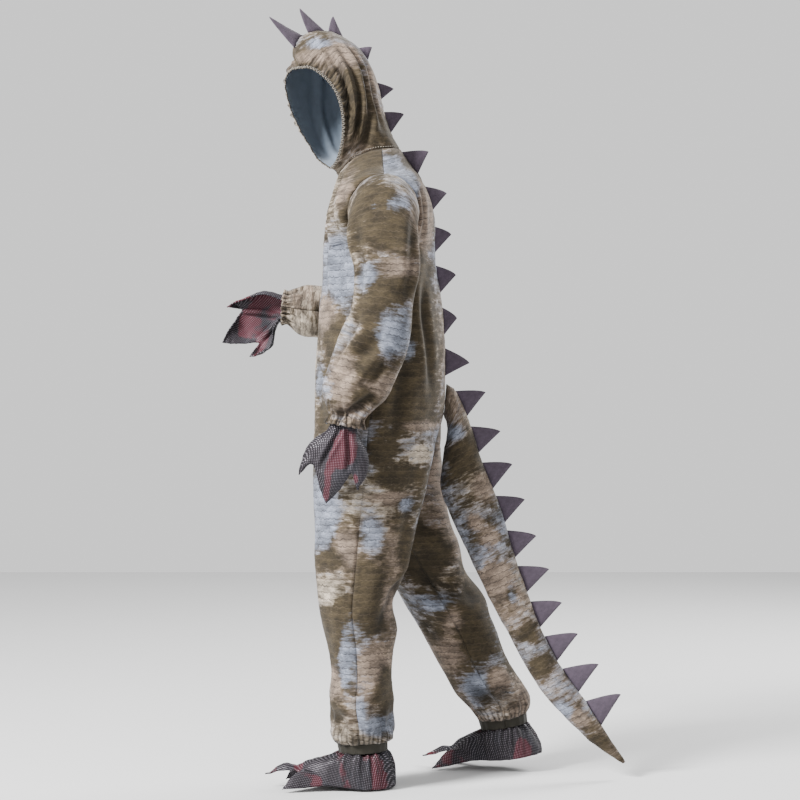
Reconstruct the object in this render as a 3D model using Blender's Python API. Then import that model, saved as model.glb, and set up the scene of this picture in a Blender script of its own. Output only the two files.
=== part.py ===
# Dinosaur costume: a hooded suit with spikes and a tail, hand covers and foot covers.
# It is hollow and stands in the pose in which it is worn. Metres, +Z up. The costume faces -Y,
# its left side is +X, and the floor is at z = 0 of the measurements below. All of it hangs on
# an empty, so that the origin is the middle of the neck seam, where shoulders carry the suit.

import math

import bmesh
import bpy
import numpy as np
from mathutils import Matrix
from mathutils.bvhtree import BVHTree

# Driving dimensions
CLOTH = 0.002                # wall of the plush cloth
PADDED_CLOTH = 0.003         # wall of the hand and foot covers
SEAM_GAP = 0.0003            # between two pieces that are sewn together
EDGE_INSET = 0.65 * SEAM_GAP    # each side of a seam, with a little for its curve
ORIGIN = (0.0, -0.070, 1.450)

CROTCH_TOP = 0.910           # where the centre seams start to dip between the legs
CROTCH = 0.775
UNDERARM = 1.248
ARMHOLE_CENTRE_Y = -0.035
ARMHOLE_HALF_DEPTH = 0.078
ARMHOLE_HALF_HEIGHT = 0.077
ARMHOLE_BOTTOM_X = 0.171
ARMHOLE_TOP_X = 0.195
NECK_POINT = (0.080, -0.041, 1.4755)
NECK_FRONT = (0.0, -0.150, 1.422)
NECK_BACK = (0.0, 0.000, 1.484)

FRONT_COLUMNS = 9            # from the centre front or inseam to the side seam
BACK_COLUMNS = 9
TORSO_ROWS = 7
CROTCH_TURNS = (72, 54, 36, 18, 5, 0)    # how far each ring wraps past the centre
LEG_ROWS = 14
ARMHOLE_ROWS = 10
SHOULDER_ROWS = 3
SLEEVE_CAP_ROWS = 4
CAP_LEAVE = 0.85             # how straight the sleeve leaves the armhole
SLEEVE_ROWS = 11
SLEEVE_COLUMNS = 2 * ARMHOLE_ROWS
HOOD_FACE_ROWS = 14
HOOD_CROWN_ROWS = 4
TAIL_COLUMNS = 6

ELASTIC_WIDTH = 0.007        # edge of the face opening
BAND_WIDTH = 0.022           # ankle band
BAND_TAPER = 0.97
TAIL_REACH = 0.1             # the seat's cloth is sought from this far behind it
TAIL_GAP = 0.0015            # clears the curve of the seat between two points
CUFF_GATHER = 0.0024
SPIKE_THICKNESS = 0.007
SPIKE_EDGE = 0.0016

QUARTER_ARC = 1.657          # tangent of a cubic that follows a quarter of an ellipse

# Torso: height, front and back of the outline, half width
TORSO_TABLE = (
    # z,     y_front, y_back, half_width
    (0.775, -0.2010, 0.0960, 0.213),
    (0.850, -0.2005, 0.1040, 0.208),
    (0.910, -0.1990, 0.1090, 0.200),
    (1.000, -0.1970, 0.1080, 0.188),
    (1.084, -0.1930, 0.1000, 0.180),
    (1.175, -0.1840, 0.0880, 0.174),
    (1.248, -0.1810, 0.0820, 0.172),
    (1.313, -0.1720, 0.0785, 0.172),
    (1.350, -0.1640, 0.0720, 0.172),
    (1.394, -0.1550, 0.0570, 0.172),
    (1.422, -0.1500, 0.0430, 0.172),
    (1.454, -0.1480, 0.0180, 0.172),
    (1.484, -0.1480, 0.0000, 0.172),
)

# Legs: height, front and back of the outline, inner and outer side, ring's tilt in degrees
LEFT_LEG_TABLE = (
    # z,    y_front, y_back, x_inner, x_outer, tilt
    (0.106, -0.1440, -0.0280, 0.060, 0.170, 3),
    (0.140, -0.1560, -0.0140, 0.040, 0.193, 0),
    (0.190, -0.1640, -0.0190, 0.036, 0.196, 0),
    (0.259, -0.1580, -0.0210, 0.034, 0.194, 0),
    (0.326, -0.1660, -0.0170, 0.030, 0.194, 0),
    (0.411, -0.1840, -0.0150, 0.024, 0.198, 0),
    (0.503, -0.1930, 0.0130, 0.016, 0.204, 0),
    (0.613, -0.1980, 0.0410, 0.008, 0.210, 0),
    (0.719, -0.2000, 0.0660, 0.004, 0.213, 0),
    (0.775, -0.2010, 0.0800, 0.003, 0.213, 0),
)
RIGHT_LEG_TABLE = (
    # z,    y_front, y_back, x_inner, x_outer, tilt
    (0.128, 0.1900, 0.3060, 0.067, 0.181, 10),
    (0.158, 0.1700, 0.3110, 0.045, 0.204, 10),
    (0.200, 0.1320, 0.2900, 0.040, 0.206, 9),
    (0.265, 0.0915, 0.2560, 0.036, 0.204, 6),
    (0.350, 0.0460, 0.2240, 0.032, 0.204, 3),
    (0.425, -0.0020, 0.1900, 0.026, 0.206, 0),
    (0.500, -0.0550, 0.1500, 0.018, 0.208, 0),
    (0.600, -0.1180, 0.1200, 0.009, 0.211, 0),
    (0.700, -0.1720, 0.1050, 0.004, 0.213, 0),
    (0.775, -0.1950, 0.0980, 0.003, 0.213, 0),
)

# Sleeves: ring centre, half width across, half depth along the arm's front to back, tilt
LEFT_SLEEVE_TABLE = (
    # x,     y,      z,     half_across, half_depth, tilt
    (0.242, -0.036, 1.230, 0.051, 0.077, 0),
    (0.245, -0.030, 1.190, 0.055, 0.073, 0),
    (0.251, -0.038, 1.110, 0.056, 0.067, -6),
    (0.258, -0.056, 1.030, 0.058, 0.075, -14),
    (0.264, -0.084, 0.950, 0.056, 0.077, -14),
    (0.266, -0.104, 0.900, 0.051, 0.071, -12),
    (0.266, -0.116, 0.868, 0.041, 0.046, -10),
    (0.266, -0.119, 0.853, 0.036, 0.037, -10),
    (0.266, -0.123, 0.833, 0.042, 0.044, -10),
)
RIGHT_SLEEVE_TABLE = (
    # x,     y,      z,     half_across, half_depth, tilt
    (0.242, -0.036, 1.230, 0.051, 0.076, 0),
    (0.245, -0.028, 1.200, 0.056, 0.074, -6),
    (0.249, -0.028, 1.168, 0.058, 0.072, -18),
    (0.250, -0.046, 1.126, 0.060, 0.070, -46),
    (0.248, -0.084, 1.106, 0.060, 0.066, -76),
    (0.243, -0.140, 1.103, 0.059, 0.063, -88),
    (0.236, -0.200, 1.108, 0.060, 0.064, -92),
    (0.229, -0.245, 1.113, 0.054, 0.058, -94),
    (0.225, -0.266, 1.116, 0.040, 0.042, -94),
    (0.223, -0.276, 1.117, 0.035, 0.036, -94),
    (0.221, -0.290, 1.118, 0.040, 0.041, -94),
)

# Hood: the elastic edge of the face opening, from the forehead to the chin
FACE_EDGE_LEFT = (
    # x,     y,      z
    (0.078, -0.236, 1.667),
    (0.105, -0.205, 1.663),
    (0.118, -0.165, 1.633),
    (0.122, -0.145, 1.605),
    (0.119, -0.128, 1.545),
    (0.107, -0.128, 1.507),
    (0.086, -0.134, 1.475),
    (0.055, -0.146, 1.446),
    (0.022, -0.160, 1.433),
)
FACE_EDGE_RIGHT = (
    # x,     y,      z
    (0.078, -0.236, 1.667),
    (0.055, -0.256, 1.664),
    (0.030, -0.270, 1.642),
    (0.016, -0.266, 1.605),
    (0.008, -0.254, 1.565),
    (0.001, -0.233, 1.521),
    (-0.003, -0.213, 1.488),
    (-0.001, -0.189, 1.453),
    (0.022, -0.160, 1.433),
)
# Hood: the centre seam from the forehead to the crown, and from the nape to the crown
CROWN_SEAM = (
    # x,     y,      z
    (0.078, -0.236, 1.667),
    (0.071, -0.247, 1.697),
    (0.057, -0.241, 1.728),
    (0.037, -0.219, 1.750),
    (0.018, -0.188, 1.760),
)
TOP_SEAM = (
    # x,     y,      z
    (0.018, -0.188, 1.760),
    (0.006, -0.158, 1.759),
    (-0.006, -0.126, 1.745),
)
BACK_SEAM = (
    # x,     y,      z
    (0.000, 0.000, 1.484),
    (-0.008, -0.019, 1.520),
    (-0.020, -0.038, 1.575),
    (-0.028, -0.052, 1.632),
    (-0.026, -0.070, 1.681),
    (-0.017, -0.096, 1.720),
    (-0.006, -0.126, 1.745),
)
# Hood: its widest line on each side, from the neck to the crown
HOOD_SIDE_LEFT = (
    # x,     y,      z
    (0.080, -0.041, 1.4755),
    (0.090, -0.060, 1.510),
    (0.112, -0.090, 1.570),
    (0.120, -0.112, 1.630),
    (0.107, -0.130, 1.690),
    (0.070, -0.146, 1.737),
    (0.006, -0.158, 1.759),
)
HOOD_SIDE_RIGHT = (
    # x,     y,      z
    (-0.080, -0.041, 1.4755),
    (-0.084, -0.080, 1.515),
    (-0.096, -0.125, 1.575),
    (-0.102, -0.145, 1.635),
    (-0.090, -0.155, 1.695),
    (-0.052, -0.158, 1.741),
    (0.006, -0.158, 1.759),
)
FACE_CENTRE = (0.062, -0.200, 1.555)
FACE_DIRECTION = (0.70, -0.70, 0.10)
CROWN_TURN = 25.0            # the crown seam runs this far off straight back
FACE_GATHER = 0.0022

# Tail: under seam, top seam and half thickness from the seat to the tip
TAIL_TABLE = (
    # y_under, z_under, y_top, z_top, half_thickness
    (0.1010, 0.8580, 0.1220, 0.9320, 0.036),
    (0.1120, 0.8240, 0.1470, 0.8850, 0.042),
    (0.1040, 0.7790, 0.1680, 0.8300, 0.046),
    (0.0980, 0.7340, 0.1840, 0.7790, 0.046),
    (0.0960, 0.6800, 0.2010, 0.7280, 0.047),
    (0.1160, 0.6240, 0.2230, 0.6720, 0.047),
    (0.1420, 0.5700, 0.2440, 0.6120, 0.046),
    (0.1720, 0.5050, 0.2640, 0.5460, 0.043),
    (0.2080, 0.4310, 0.2900, 0.4680, 0.039),
    (0.2480, 0.3540, 0.3200, 0.3870, 0.035),
    (0.2850, 0.2840, 0.3530, 0.3140, 0.032),
    (0.3290, 0.2150, 0.3920, 0.2450, 0.030),
    (0.3790, 0.1540, 0.4370, 0.1830, 0.027),
    (0.4330, 0.0990, 0.4780, 0.1190, 0.021),
    (0.4820, 0.0630, 0.5080, 0.0720, 0.013),
    (0.5260, 0.0360, 0.5320, 0.0390, 0.004),
)

# Spikes: place of the base's middle along the back line from the forehead, length of the
# base, height, and how far the tip leans along the line
SPIKE_TABLE = (
    # place, base,  height, lean
    (0.070, 0.046, 0.088, -0.004),
    (0.132, 0.046, 0.060, -0.032),
    (0.183, 0.042, 0.036, -0.022),
    (0.264, 0.042, 0.030, 0.000),
    (0.359, 0.044, 0.034, 0.004),
    (0.440, 0.056, 0.045, -0.006),
    (0.554, 0.066, 0.053, 0.006),
    (0.652, 0.066, 0.045, -0.003),
    (0.750, 0.067, 0.045, -0.010),
    (0.845, 0.069, 0.045, -0.005),
    (0.944, 0.069, 0.034, -0.004),
    (1.041, 0.068, 0.058, 0.001),
    (1.153, 0.067, 0.063, 0.001),
    (1.244, 0.067, 0.064, 0.001),
    (1.335, 0.068, 0.065, -0.002),
    (1.420, 0.068, 0.062, -0.002),
    (1.506, 0.068, 0.064, -0.001),
    (1.593, 0.066, 0.068, 0.000),
    (1.682, 0.066, 0.070, -0.003),
    (1.771, 0.066, 0.074, -0.002),
    (1.859, 0.068, 0.078, 0.007),
    (1.954, 0.069, 0.080, -0.003),
)

# Hand cover: length along the hand, half width, bulge, half the angle that it wraps, and how
# much of the bend between the cuff and the hand is in that row
HAND_TABLE = (
    # along,  half_width, bulge, wrap, bend
    (-0.014, 0.0270, 0.0240, 150, 1.0),
    (0.020, 0.0310, 0.0280, 140, 1.0),
    (0.042, 0.0570, 0.0320, 125, 0.5),
    (0.068, 0.0730, 0.0320, 110, 0.0),
    (0.100, 0.0750, 0.0280, 100, 0.0),
)
# Claws of the hand cover: columns of the panel, and the tip's place along and across
HAND_CLAWS = (
    # first, last, along,  across
    (0, 3, 0.1340, 0.0740),
    (3, 8, 0.1850, 0.0000),
    (8, 12, 0.1400, -0.0620),
)
HAND_COLUMN_EDGES = (-1.0, -0.80, -0.60, -0.42, -0.26, -0.10, 0.06, 0.20, 0.33,
                     0.50, 0.67, 0.84, 1.0)
HAND_CLAW_BULGE = 0.011
LEFT_WRIST = (0.266, -0.125, 0.840)
LEFT_HAND_ANGLE = 12.5       # forward from straight down
LEFT_CUFF_ANGLE = 10.0
RIGHT_WRIST = (-0.222, -0.275, 1.117)
RIGHT_HAND_ANGLE = 63.0
RIGHT_CUFF_ANGLE = 94.0

# Foot cover: reach of the hem from the ankle's middle
FOOT_FRONT = 0.150
FOOT_BACK = 0.076
FOOT_HALF_WIDTH = 0.062
FOOT_COLUMNS = 20
FOOT_ROWS = 5
FOOT_CLAW_COLUMNS = 3        # in each of the three toe claws
FOOT_CLAW_TURNS = 60.0       # the toe claws take this much of the hem to each side
FOOT_FRONT_LIFT = 0.040
FOOT_CLAWS = (
    # first, across, forward, height
    (0, -0.076, 0.182, 0.010),
    (3, 0.000, 0.226, 0.036),
    (6, 0.076, 0.182, 0.010),
)
FOOT_CLAW_BULGE = 0.020
LEFT_FOOT = (0.115, -0.086)
RIGHT_FOOT = (-0.124, 0.248)
RIGHT_FOOT_BACK_SHIFT = 0.026
RIGHT_FOOT_PITCH = 10.0      # the heel is off the floor
RIGHT_FOOT_TURN = 18.0       # the toes point outward

COLOURS = {
    "plush": (0.150, 0.112, 0.068),
    "spike_felt": (0.102, 0.078, 0.108),
    "foil_cloth": (0.115, 0.085, 0.105),
    "elastic": (0.060, 0.050, 0.028),
}


def blend_rows(table, at, key=0):
    """Rows of a table read smoothly at the given values of its key column."""
    rows = np.array(table, dtype=float)
    rows = rows[np.argsort(rows[:, key])]
    keys = rows[:, key]
    slopes = np.gradient(rows, keys, axis=0)
    at = np.clip(np.atleast_1d(at), keys[0], keys[-1])
    low = np.clip(np.searchsorted(keys, at, side="right") - 1, 0, len(keys) - 2)
    step = (keys[low + 1] - keys[low])[:, None]
    part = (at[:, None] - keys[low][:, None]) / step
    h00 = 2 * part ** 3 - 3 * part ** 2 + 1
    h10 = part ** 3 - 2 * part ** 2 + part
    h01 = 3 * part ** 2 - 2 * part ** 3
    h11 = part ** 3 - part ** 2
    return (h00 * rows[low] + h10 * step * slopes[low]
            + h01 * rows[low + 1] + h11 * step * slopes[low + 1])


def along(points, count):
    """The given number of evenly spaced points on a smooth curve through a few points."""
    points = np.array(points, dtype=float)
    keys = np.concatenate(([0.0], np.cumsum(np.linalg.norm(np.diff(points, axis=0), axis=1))))
    table = np.column_stack((keys, points))
    return blend_rows(table, np.linspace(0.0, keys[-1], count))[:, 1:]


def cubic(start, start_tangent, end, end_tangent, parts):
    """Points of a cubic between two ends with given tangents."""
    parts = np.asarray(parts)[:, None]
    h00 = 2 * parts ** 3 - 3 * parts ** 2 + 1
    h10 = parts ** 3 - 2 * parts ** 2 + parts
    h01 = 3 * parts ** 2 - 2 * parts ** 3
    h11 = parts ** 3 - parts ** 2
    return h00 * start + h10 * start_tangent + h01 * end + h11 * end_tangent


def ease(value):
    """Smooth step from 0 to 1."""
    value = np.clip(value, 0.0, 1.0)
    return value * value * (3 - 2 * value)


def unit(vector):
    vector = np.asarray(vector, dtype=float)
    return vector / max(np.linalg.norm(vector), 1e-12)


def ridge(value, centre, half_width):
    """A soft bump of height 1 at the centre that ends at the half width."""
    return ease(1.0 - np.abs(value - centre) / half_width)


class Panel:
    """One piece of cloth: an outer surface of quads, which gets a wall and a material."""

    def __init__(self, name, wall=CLOTH, colour="plush"):
        self.name = name
        self.wall = wall
        self.colour = colour
        self.inset = EDGE_INSET
        self.points = []
        self.faces = []
        self.normals = None

    def add_grid(self, grid, closed=False):
        """Adds a grid of rows and columns, and returns its point numbers."""
        rows, columns = grid.shape[:2]
        start = len(self.points)
        self.points.extend(grid.reshape(-1, 3))
        numbers = start + np.arange(rows * columns).reshape(rows, columns)
        self.join(numbers, closed)
        return numbers

    def join(self, numbers, closed=False):
        """Quads between the rows of point numbers; a point used twice makes a triangle."""
        rows, columns = numbers.shape
        for row in range(rows - 1):
            for column in range(columns if closed else columns - 1):
                after = (column + 1) % columns
                face = (numbers[row, column], numbers[row, after],
                        numbers[row + 1, after], numbers[row + 1, column])
                self.faces.append(tuple(dict.fromkeys(int(number) for number in face)))

    def own_normals(self):
        points = np.array(self.points)
        normals = np.zeros_like(points)
        for face in self.faces:
            corners = points[list(face)]
            middle = corners.mean(axis=0)
            around = np.roll(corners, -1, axis=0)
            normal = np.cross(corners - middle, around - middle).sum(axis=0)
            for number in face:
                normals[number] += unit(normal)
        return normals


def share_normals(panels):
    """Panels that meet at a seam get the same normal there, so their walls meet edge to edge."""
    sums = {}
    keys = []
    for panel in panels:
        panel.points = np.array(panel.points)
        own = panel.own_normals()
        places = [tuple(np.round(point, 5)) for point in panel.points]
        keys.append(places)
        for place, normal in zip(places, own):
            sums[place] = sums.get(place, 0.0) + normal
    for panel, places in zip(panels, keys):
        panel.normals = np.array([unit(sums[place]) for place in places])
    return sums


def boundary_edges(faces):
    """The edges that only one face uses, in that face's direction."""
    seen = {}
    for face in faces:
        for first, second in zip(face, face[1:] + face[:1]):
            seen[(first, second)] = True
    return [edge for edge in seen if (edge[1], edge[0]) not in seen]


def inset_edges(panel):
    """Draws the panel's edge in by half a seam's gap, within its own surface."""
    inward = np.zeros_like(panel.points)
    for first, second in boundary_edges(panel.faces):
        way = unit(panel.points[second] - panel.points[first])
        for number in (first, second):
            inward[number] += np.cross(panel.normals[number], way)
    for number in np.nonzero(np.linalg.norm(inward, axis=1) > 0)[0]:
        panel.points[number] += unit(inward[number]) * panel.inset


def material(name):
    made = bpy.data.materials.get(name)
    if made is None:
        made = bpy.data.materials.new(name)
        made.use_nodes = True
        shader = made.node_tree.nodes["Principled BSDF"]
        shader.inputs["Base Color"].default_value = (*COLOURS[name], 1.0)
        shader.inputs["Roughness"].default_value = 0.9
        shader.inputs["Metallic"].default_value = 0.0
    return made


def add_object(name, points, faces, colour, holder):
    mesh = bpy.data.meshes.new(name)
    mesh.from_pydata([tuple(point) for point in points], [], faces)
    solid = bmesh.new()
    solid.from_mesh(mesh)
    bmesh.ops.recalc_face_normals(solid, faces=solid.faces)
    solid.to_mesh(mesh)
    solid.free()
    mesh.materials.append(material(colour))
    mesh.shade_smooth()
    made = bpy.data.objects.new(name, mesh)
    bpy.data.collections["dinosaur_costume"].objects.link(made)
    made.parent = holder
    return made


def triangles(points, faces):
    """Each quad is split along its shorter diagonal, so both sides of a wall are alike."""
    split = []
    for face in faces:
        if len(face) == 4:
            first, second, third, fourth = (points[number] for number in face)
            if np.linalg.norm(first - third) > np.linalg.norm(second - fourth):
                face = face[1:] + face[:1]
            split += [face[:3], (face[0], face[2], face[3])]
        else:
            split.append(face)
    return split


def add_wall(panel, holder):
    """The panel's outer surface, an inner one a wall's thickness inside it, and the rim."""
    outer = panel.points
    inner = outer - panel.normals * panel.wall
    count = len(outer)
    points = np.vstack((outer, inner))
    faces = triangles(points, panel.faces)
    faces += [tuple(number + count for number in reversed(face)) for face in faces]
    rim = [(second, first, first + count, second + count)
           for first, second in boundary_edges(panel.faces)]
    faces += triangles(points, rim)
    return add_object(panel.name, points, faces, panel.colour, holder)


def leg_row(height, leg_table):
    """Half a body's ring below the hips: centre, radii, tilt, and where it starts and ends."""
    leg = blend_rows(leg_table, min(height, CROTCH))[0]
    torso = blend_rows(TORSO_TABLE, max(height, CROTCH))[0]
    if height <= CROTCH:
        _, front, back, inner, outer, tilt = leg
        return (inner + outer) / 2, (outer - inner) / 2, front, back, 90.0, tilt
    # Between the crotch and the hips each leg keeps its own front and back, and fades to
    # the torso's.
    fade = ease((height - CROTCH) / (CROTCH_TOP - CROTCH))
    front = leg[1] * (1 - fade) + torso[1] * fade
    back = leg[2] * (1 - fade) + torso[2] * fade
    inner_share = max(0.0, (CROTCH_TOP - height) / (CROTCH_TOP - CROTCH)) ** 2
    inner_share = min(inner_share, 0.9995)
    radius = torso[3] / (1 + inner_share)
    return radius * inner_share, radius, front, back, math.degrees(math.asin(inner_share)), 0.0


def centre_ends(height):
    """How far the front and back end of a ring are moved so that both legs share them."""
    ends = []
    for table in (LEFT_LEG_TABLE, RIGHT_LEG_TABLE):
        _, _, front, back, inner_angle, _ = leg_row(height, table)
        middle, half = (front + back) / 2, (back - front) / 2
        reach = half * math.cos(math.radians(inner_angle))
        ends.append((middle - reach, middle + reach))
    return np.mean(ends, axis=0)


def side_seam_angle(height):
    """The side seam runs a little behind the middle under the arm and before it on the leg."""
    return 84.0 + 12.0 * float(ease((height - 0.80) / (UNDERARM - 0.80)))


def body_folds(side, height, angles):
    """How far the soft folds stand out of the body's ring, along its radius."""
    out = np.zeros_like(angles)
    blouse = ridge(height, 0.165 if side > 0 else 0.190, 0.060)
    out += 0.003 * blouse * (-1.0) ** np.arange(len(angles))
    knee = 0.45 if side > 0 else 0.50
    for place, depth in ((knee + 0.05, 0.006), (knee - 0.02, -0.005), (knee - 0.09, 0.005)):
        out += depth * ridge(height, place, 0.045) * np.cos(np.radians(angles - 200)).clip(0)
    return out


def body_ring(side, height):
    """One horizontal row of half the body, from the centre front round to the centre back."""
    table = LEFT_LEG_TABLE if side > 0 else RIGHT_LEG_TABLE
    middle_x, radius_x, front, back, inner_angle, tilt = leg_row(height, table)
    middle_y, radius_y = (front + back) / 2, (back - front) / 2
    seam = side_seam_angle(height)
    angles = np.concatenate((
        np.linspace(-inner_angle, seam, FRONT_COLUMNS + 1),
        np.linspace(seam, 180 + inner_angle, BACK_COLUMNS + 1)[1:]))
    turns = np.radians(angles)
    scale = 1 + body_folds(side, height, angles) / radius_x
    x = middle_x + radius_x * np.sin(turns) * scale
    y = middle_y - radius_y * np.cos(turns) * scale
    z = np.full_like(x, height)
    # Both halves share the centre seams.
    share = float(ease((height - (CROTCH - 0.10)) / 0.10))
    end_front, end_back = centre_ends(max(height, CROTCH))
    from_front = ease(1 - np.arange(len(x)) / 5.0)
    from_back = from_front[::-1]
    y = y + share * ((end_front - y[0]) * from_front + (end_back - y[-1]) * from_back)
    if height >= CROTCH:
        x[0] = x[-1] = 0.0
    lean = math.tan(math.radians(tilt))
    z = z + (y - middle_y) * lean
    return np.column_stack((side * x, y, z))


def armhole_point(turn, behind):
    """A point of the left armhole; turn runs from -90 at the underarm to 90 at the top."""
    turn = math.radians(turn)
    depth = ARMHOLE_HALF_DEPTH * math.cos(turn)
    rise = (1 + math.sin(turn)) / 2
    return np.array((
        ARMHOLE_BOTTOM_X + (ARMHOLE_TOP_X - ARMHOLE_BOTTOM_X) * rise,
        ARMHOLE_CENTRE_Y + (depth if behind else -depth),
        UNDERARM + 2 * ARMHOLE_HALF_HEIGHT * rise))


def outer_edge(behind):
    """The panel's edge above the underarm: the armhole, then the shoulder seam to the neck."""
    points = [armhole_point(turn, behind) for turn in np.linspace(-90, 90, ARMHOLE_ROWS + 1)]
    shoulder = points[-1]
    for part in np.linspace(0, 1, SHOULDER_ROWS + 1)[1:]:
        point = shoulder * (1 - part) + np.array(NECK_POINT) * part
        point[2] -= 0.006 * math.sin(math.pi * part)
        points.append(point)
    return points


def upper_rows(side, behind):
    """Rows of the chest or the upper back, from the centre seam to the panel's outer edge."""
    edge = outer_edge(behind)
    neck = NECK_BACK if behind else NECK_FRONT
    heights = np.linspace(UNDERARM, neck[2], len(edge))
    centre_y = blend_rows(TORSO_TABLE, heights)[:, 2 if behind else 1]
    columns = BACK_COLUMNS if behind else FRONT_COLUMNS
    rows = []
    for number, end in enumerate(edge):
        start = np.array((0.0, centre_y[number], heights[number]))
        if number == len(edge) - 1:
            start = np.array(neck)
        out = np.array((QUARTER_ARC * end[0], 0.0, 0.0))
        back = np.array((0.0, QUARTER_ARC * (end[1] - start[1]), 0.0))
        row = cubic(start, out, end, back, np.linspace(0, 1, columns + 1))
        rows.append(row * (side, 1, 1))
    return np.array(rows)


def body_heights():
    legs = np.linspace(0.0, 1.0, LEG_ROWS + 1)
    dip = np.sqrt(np.sin(np.radians(CROTCH_TURNS)))
    crotch = CROTCH_TOP - (CROTCH_TOP - CROTCH) * dip
    torso = np.linspace(CROTCH_TOP, UNDERARM, TORSO_ROWS + 1)[1:-1]
    return legs, crotch, torso


def make_body(side):
    """The front and back panel of one side, each from the ankle to the shoulder."""
    word = "left" if side > 0 else "right"
    table = LEFT_LEG_TABLE if side > 0 else RIGHT_LEG_TABLE
    hem = table[0][0]
    legs, crotch, torso = body_heights()
    # The rows stand closer together near the gathered hem.
    heights = [hem + (CROTCH - hem) * (0.75 * part + 0.25 * part ** 2) for part in legs]
    heights += list(crotch) + list(torso)
    lower = np.array([body_ring(side, height) for height in heights])
    panels = []
    for behind in (False, True):
        half = lower[:, FRONT_COLUMNS:] if behind else lower[:, :FRONT_COLUMNS + 1]
        upper = upper_rows(side, behind)
        if behind:
            upper = upper[:, ::-1]
        grid = np.concatenate((half, upper))
        panel = Panel(("back_" if behind else "front_") + word)
        panel.add_grid(grid if side > 0 else grid[:, ::-1])
        panels.append(panel)
    return panels


def armhole_loop(side):
    """The armhole as a ring of sleeve columns, from the underarm round by the front."""
    turns = np.linspace(0, 360, SLEEVE_COLUMNS + 1)[:-1]
    points = []
    for turn in turns:
        behind = turn > 180
        points.append(armhole_point(turn - 90 if not behind else 270 - turn, behind))
    return np.array(points) * (side, 1, 1)


def sleeve_ring(row, side, gathers, gather_depth):
    """One ring of a sleeve, from the inner side round by the front."""
    x, y, z, half_across, half_depth, tilt = row
    turns = np.radians(np.linspace(0, 360, SLEEVE_COLUMNS + 1)[:-1])
    wave = gather_depth * np.cos(turns * gathers)
    across = -(half_across + wave) * np.cos(turns)
    depth = -(half_depth + wave) * np.sin(turns)
    lean = math.radians(tilt)
    return np.column_stack((
        side * (x + across), y + depth * math.cos(lean), z + depth * math.sin(lean)))


def make_sleeve(side):
    word = "left" if side > 0 else "right"
    table = np.array(LEFT_SLEEVE_TABLE if side > 0 else RIGHT_SLEEVE_TABLE)
    lengths = np.linalg.norm(np.diff(table[:, :3], axis=0), axis=1)
    keys = np.concatenate(([0.0], np.cumsum(lengths)))
    keyed = np.column_stack((keys, table))
    stations = np.concatenate((np.linspace(0, keys[-4], SLEEVE_ROWS + 1), keys[-3:]))
    rings = []
    for station in stations:
        row = blend_rows(keyed, station)[0][1:]
        near_cuff = float(ease(1 - (keys[-1] - station) / 0.075))
        rings.append(sleeve_ring(row, side, SLEEVE_COLUMNS // 2, CUFF_GATHER * near_cuff))
    first = rings[0]
    hole = armhole_loop(side)
    cap = []
    outward = np.array((side * 1.0, 0.0, 0.05))
    down = rings[1] - rings[0]
    for part in np.linspace(0, 1, SLEEVE_CAP_ROWS + 1)[:-1]:
        row = []
        for column in range(SLEEVE_COLUMNS):
            reach = np.linalg.norm(first[column] - hole[column])
            row.append(cubic(hole[column], outward * reach * CAP_LEAVE, first[column],
                             unit(down[column]) * reach * CAP_LEAVE, [part])[0])
        cap.append(row)
    grid = np.array(cap + rings)
    panel = Panel("sleeve_" + word)
    panel.add_grid(grid[:, ::-1] if side > 0 else grid, closed=True)
    return panel


def neck_curve(side):
    """The neck seam's points from the centre back round to the centre front."""
    front = upper_rows(side, False)[-1]
    back = upper_rows(side, True)[-1]
    return np.concatenate((back, front[::-1][1:]))


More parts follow.
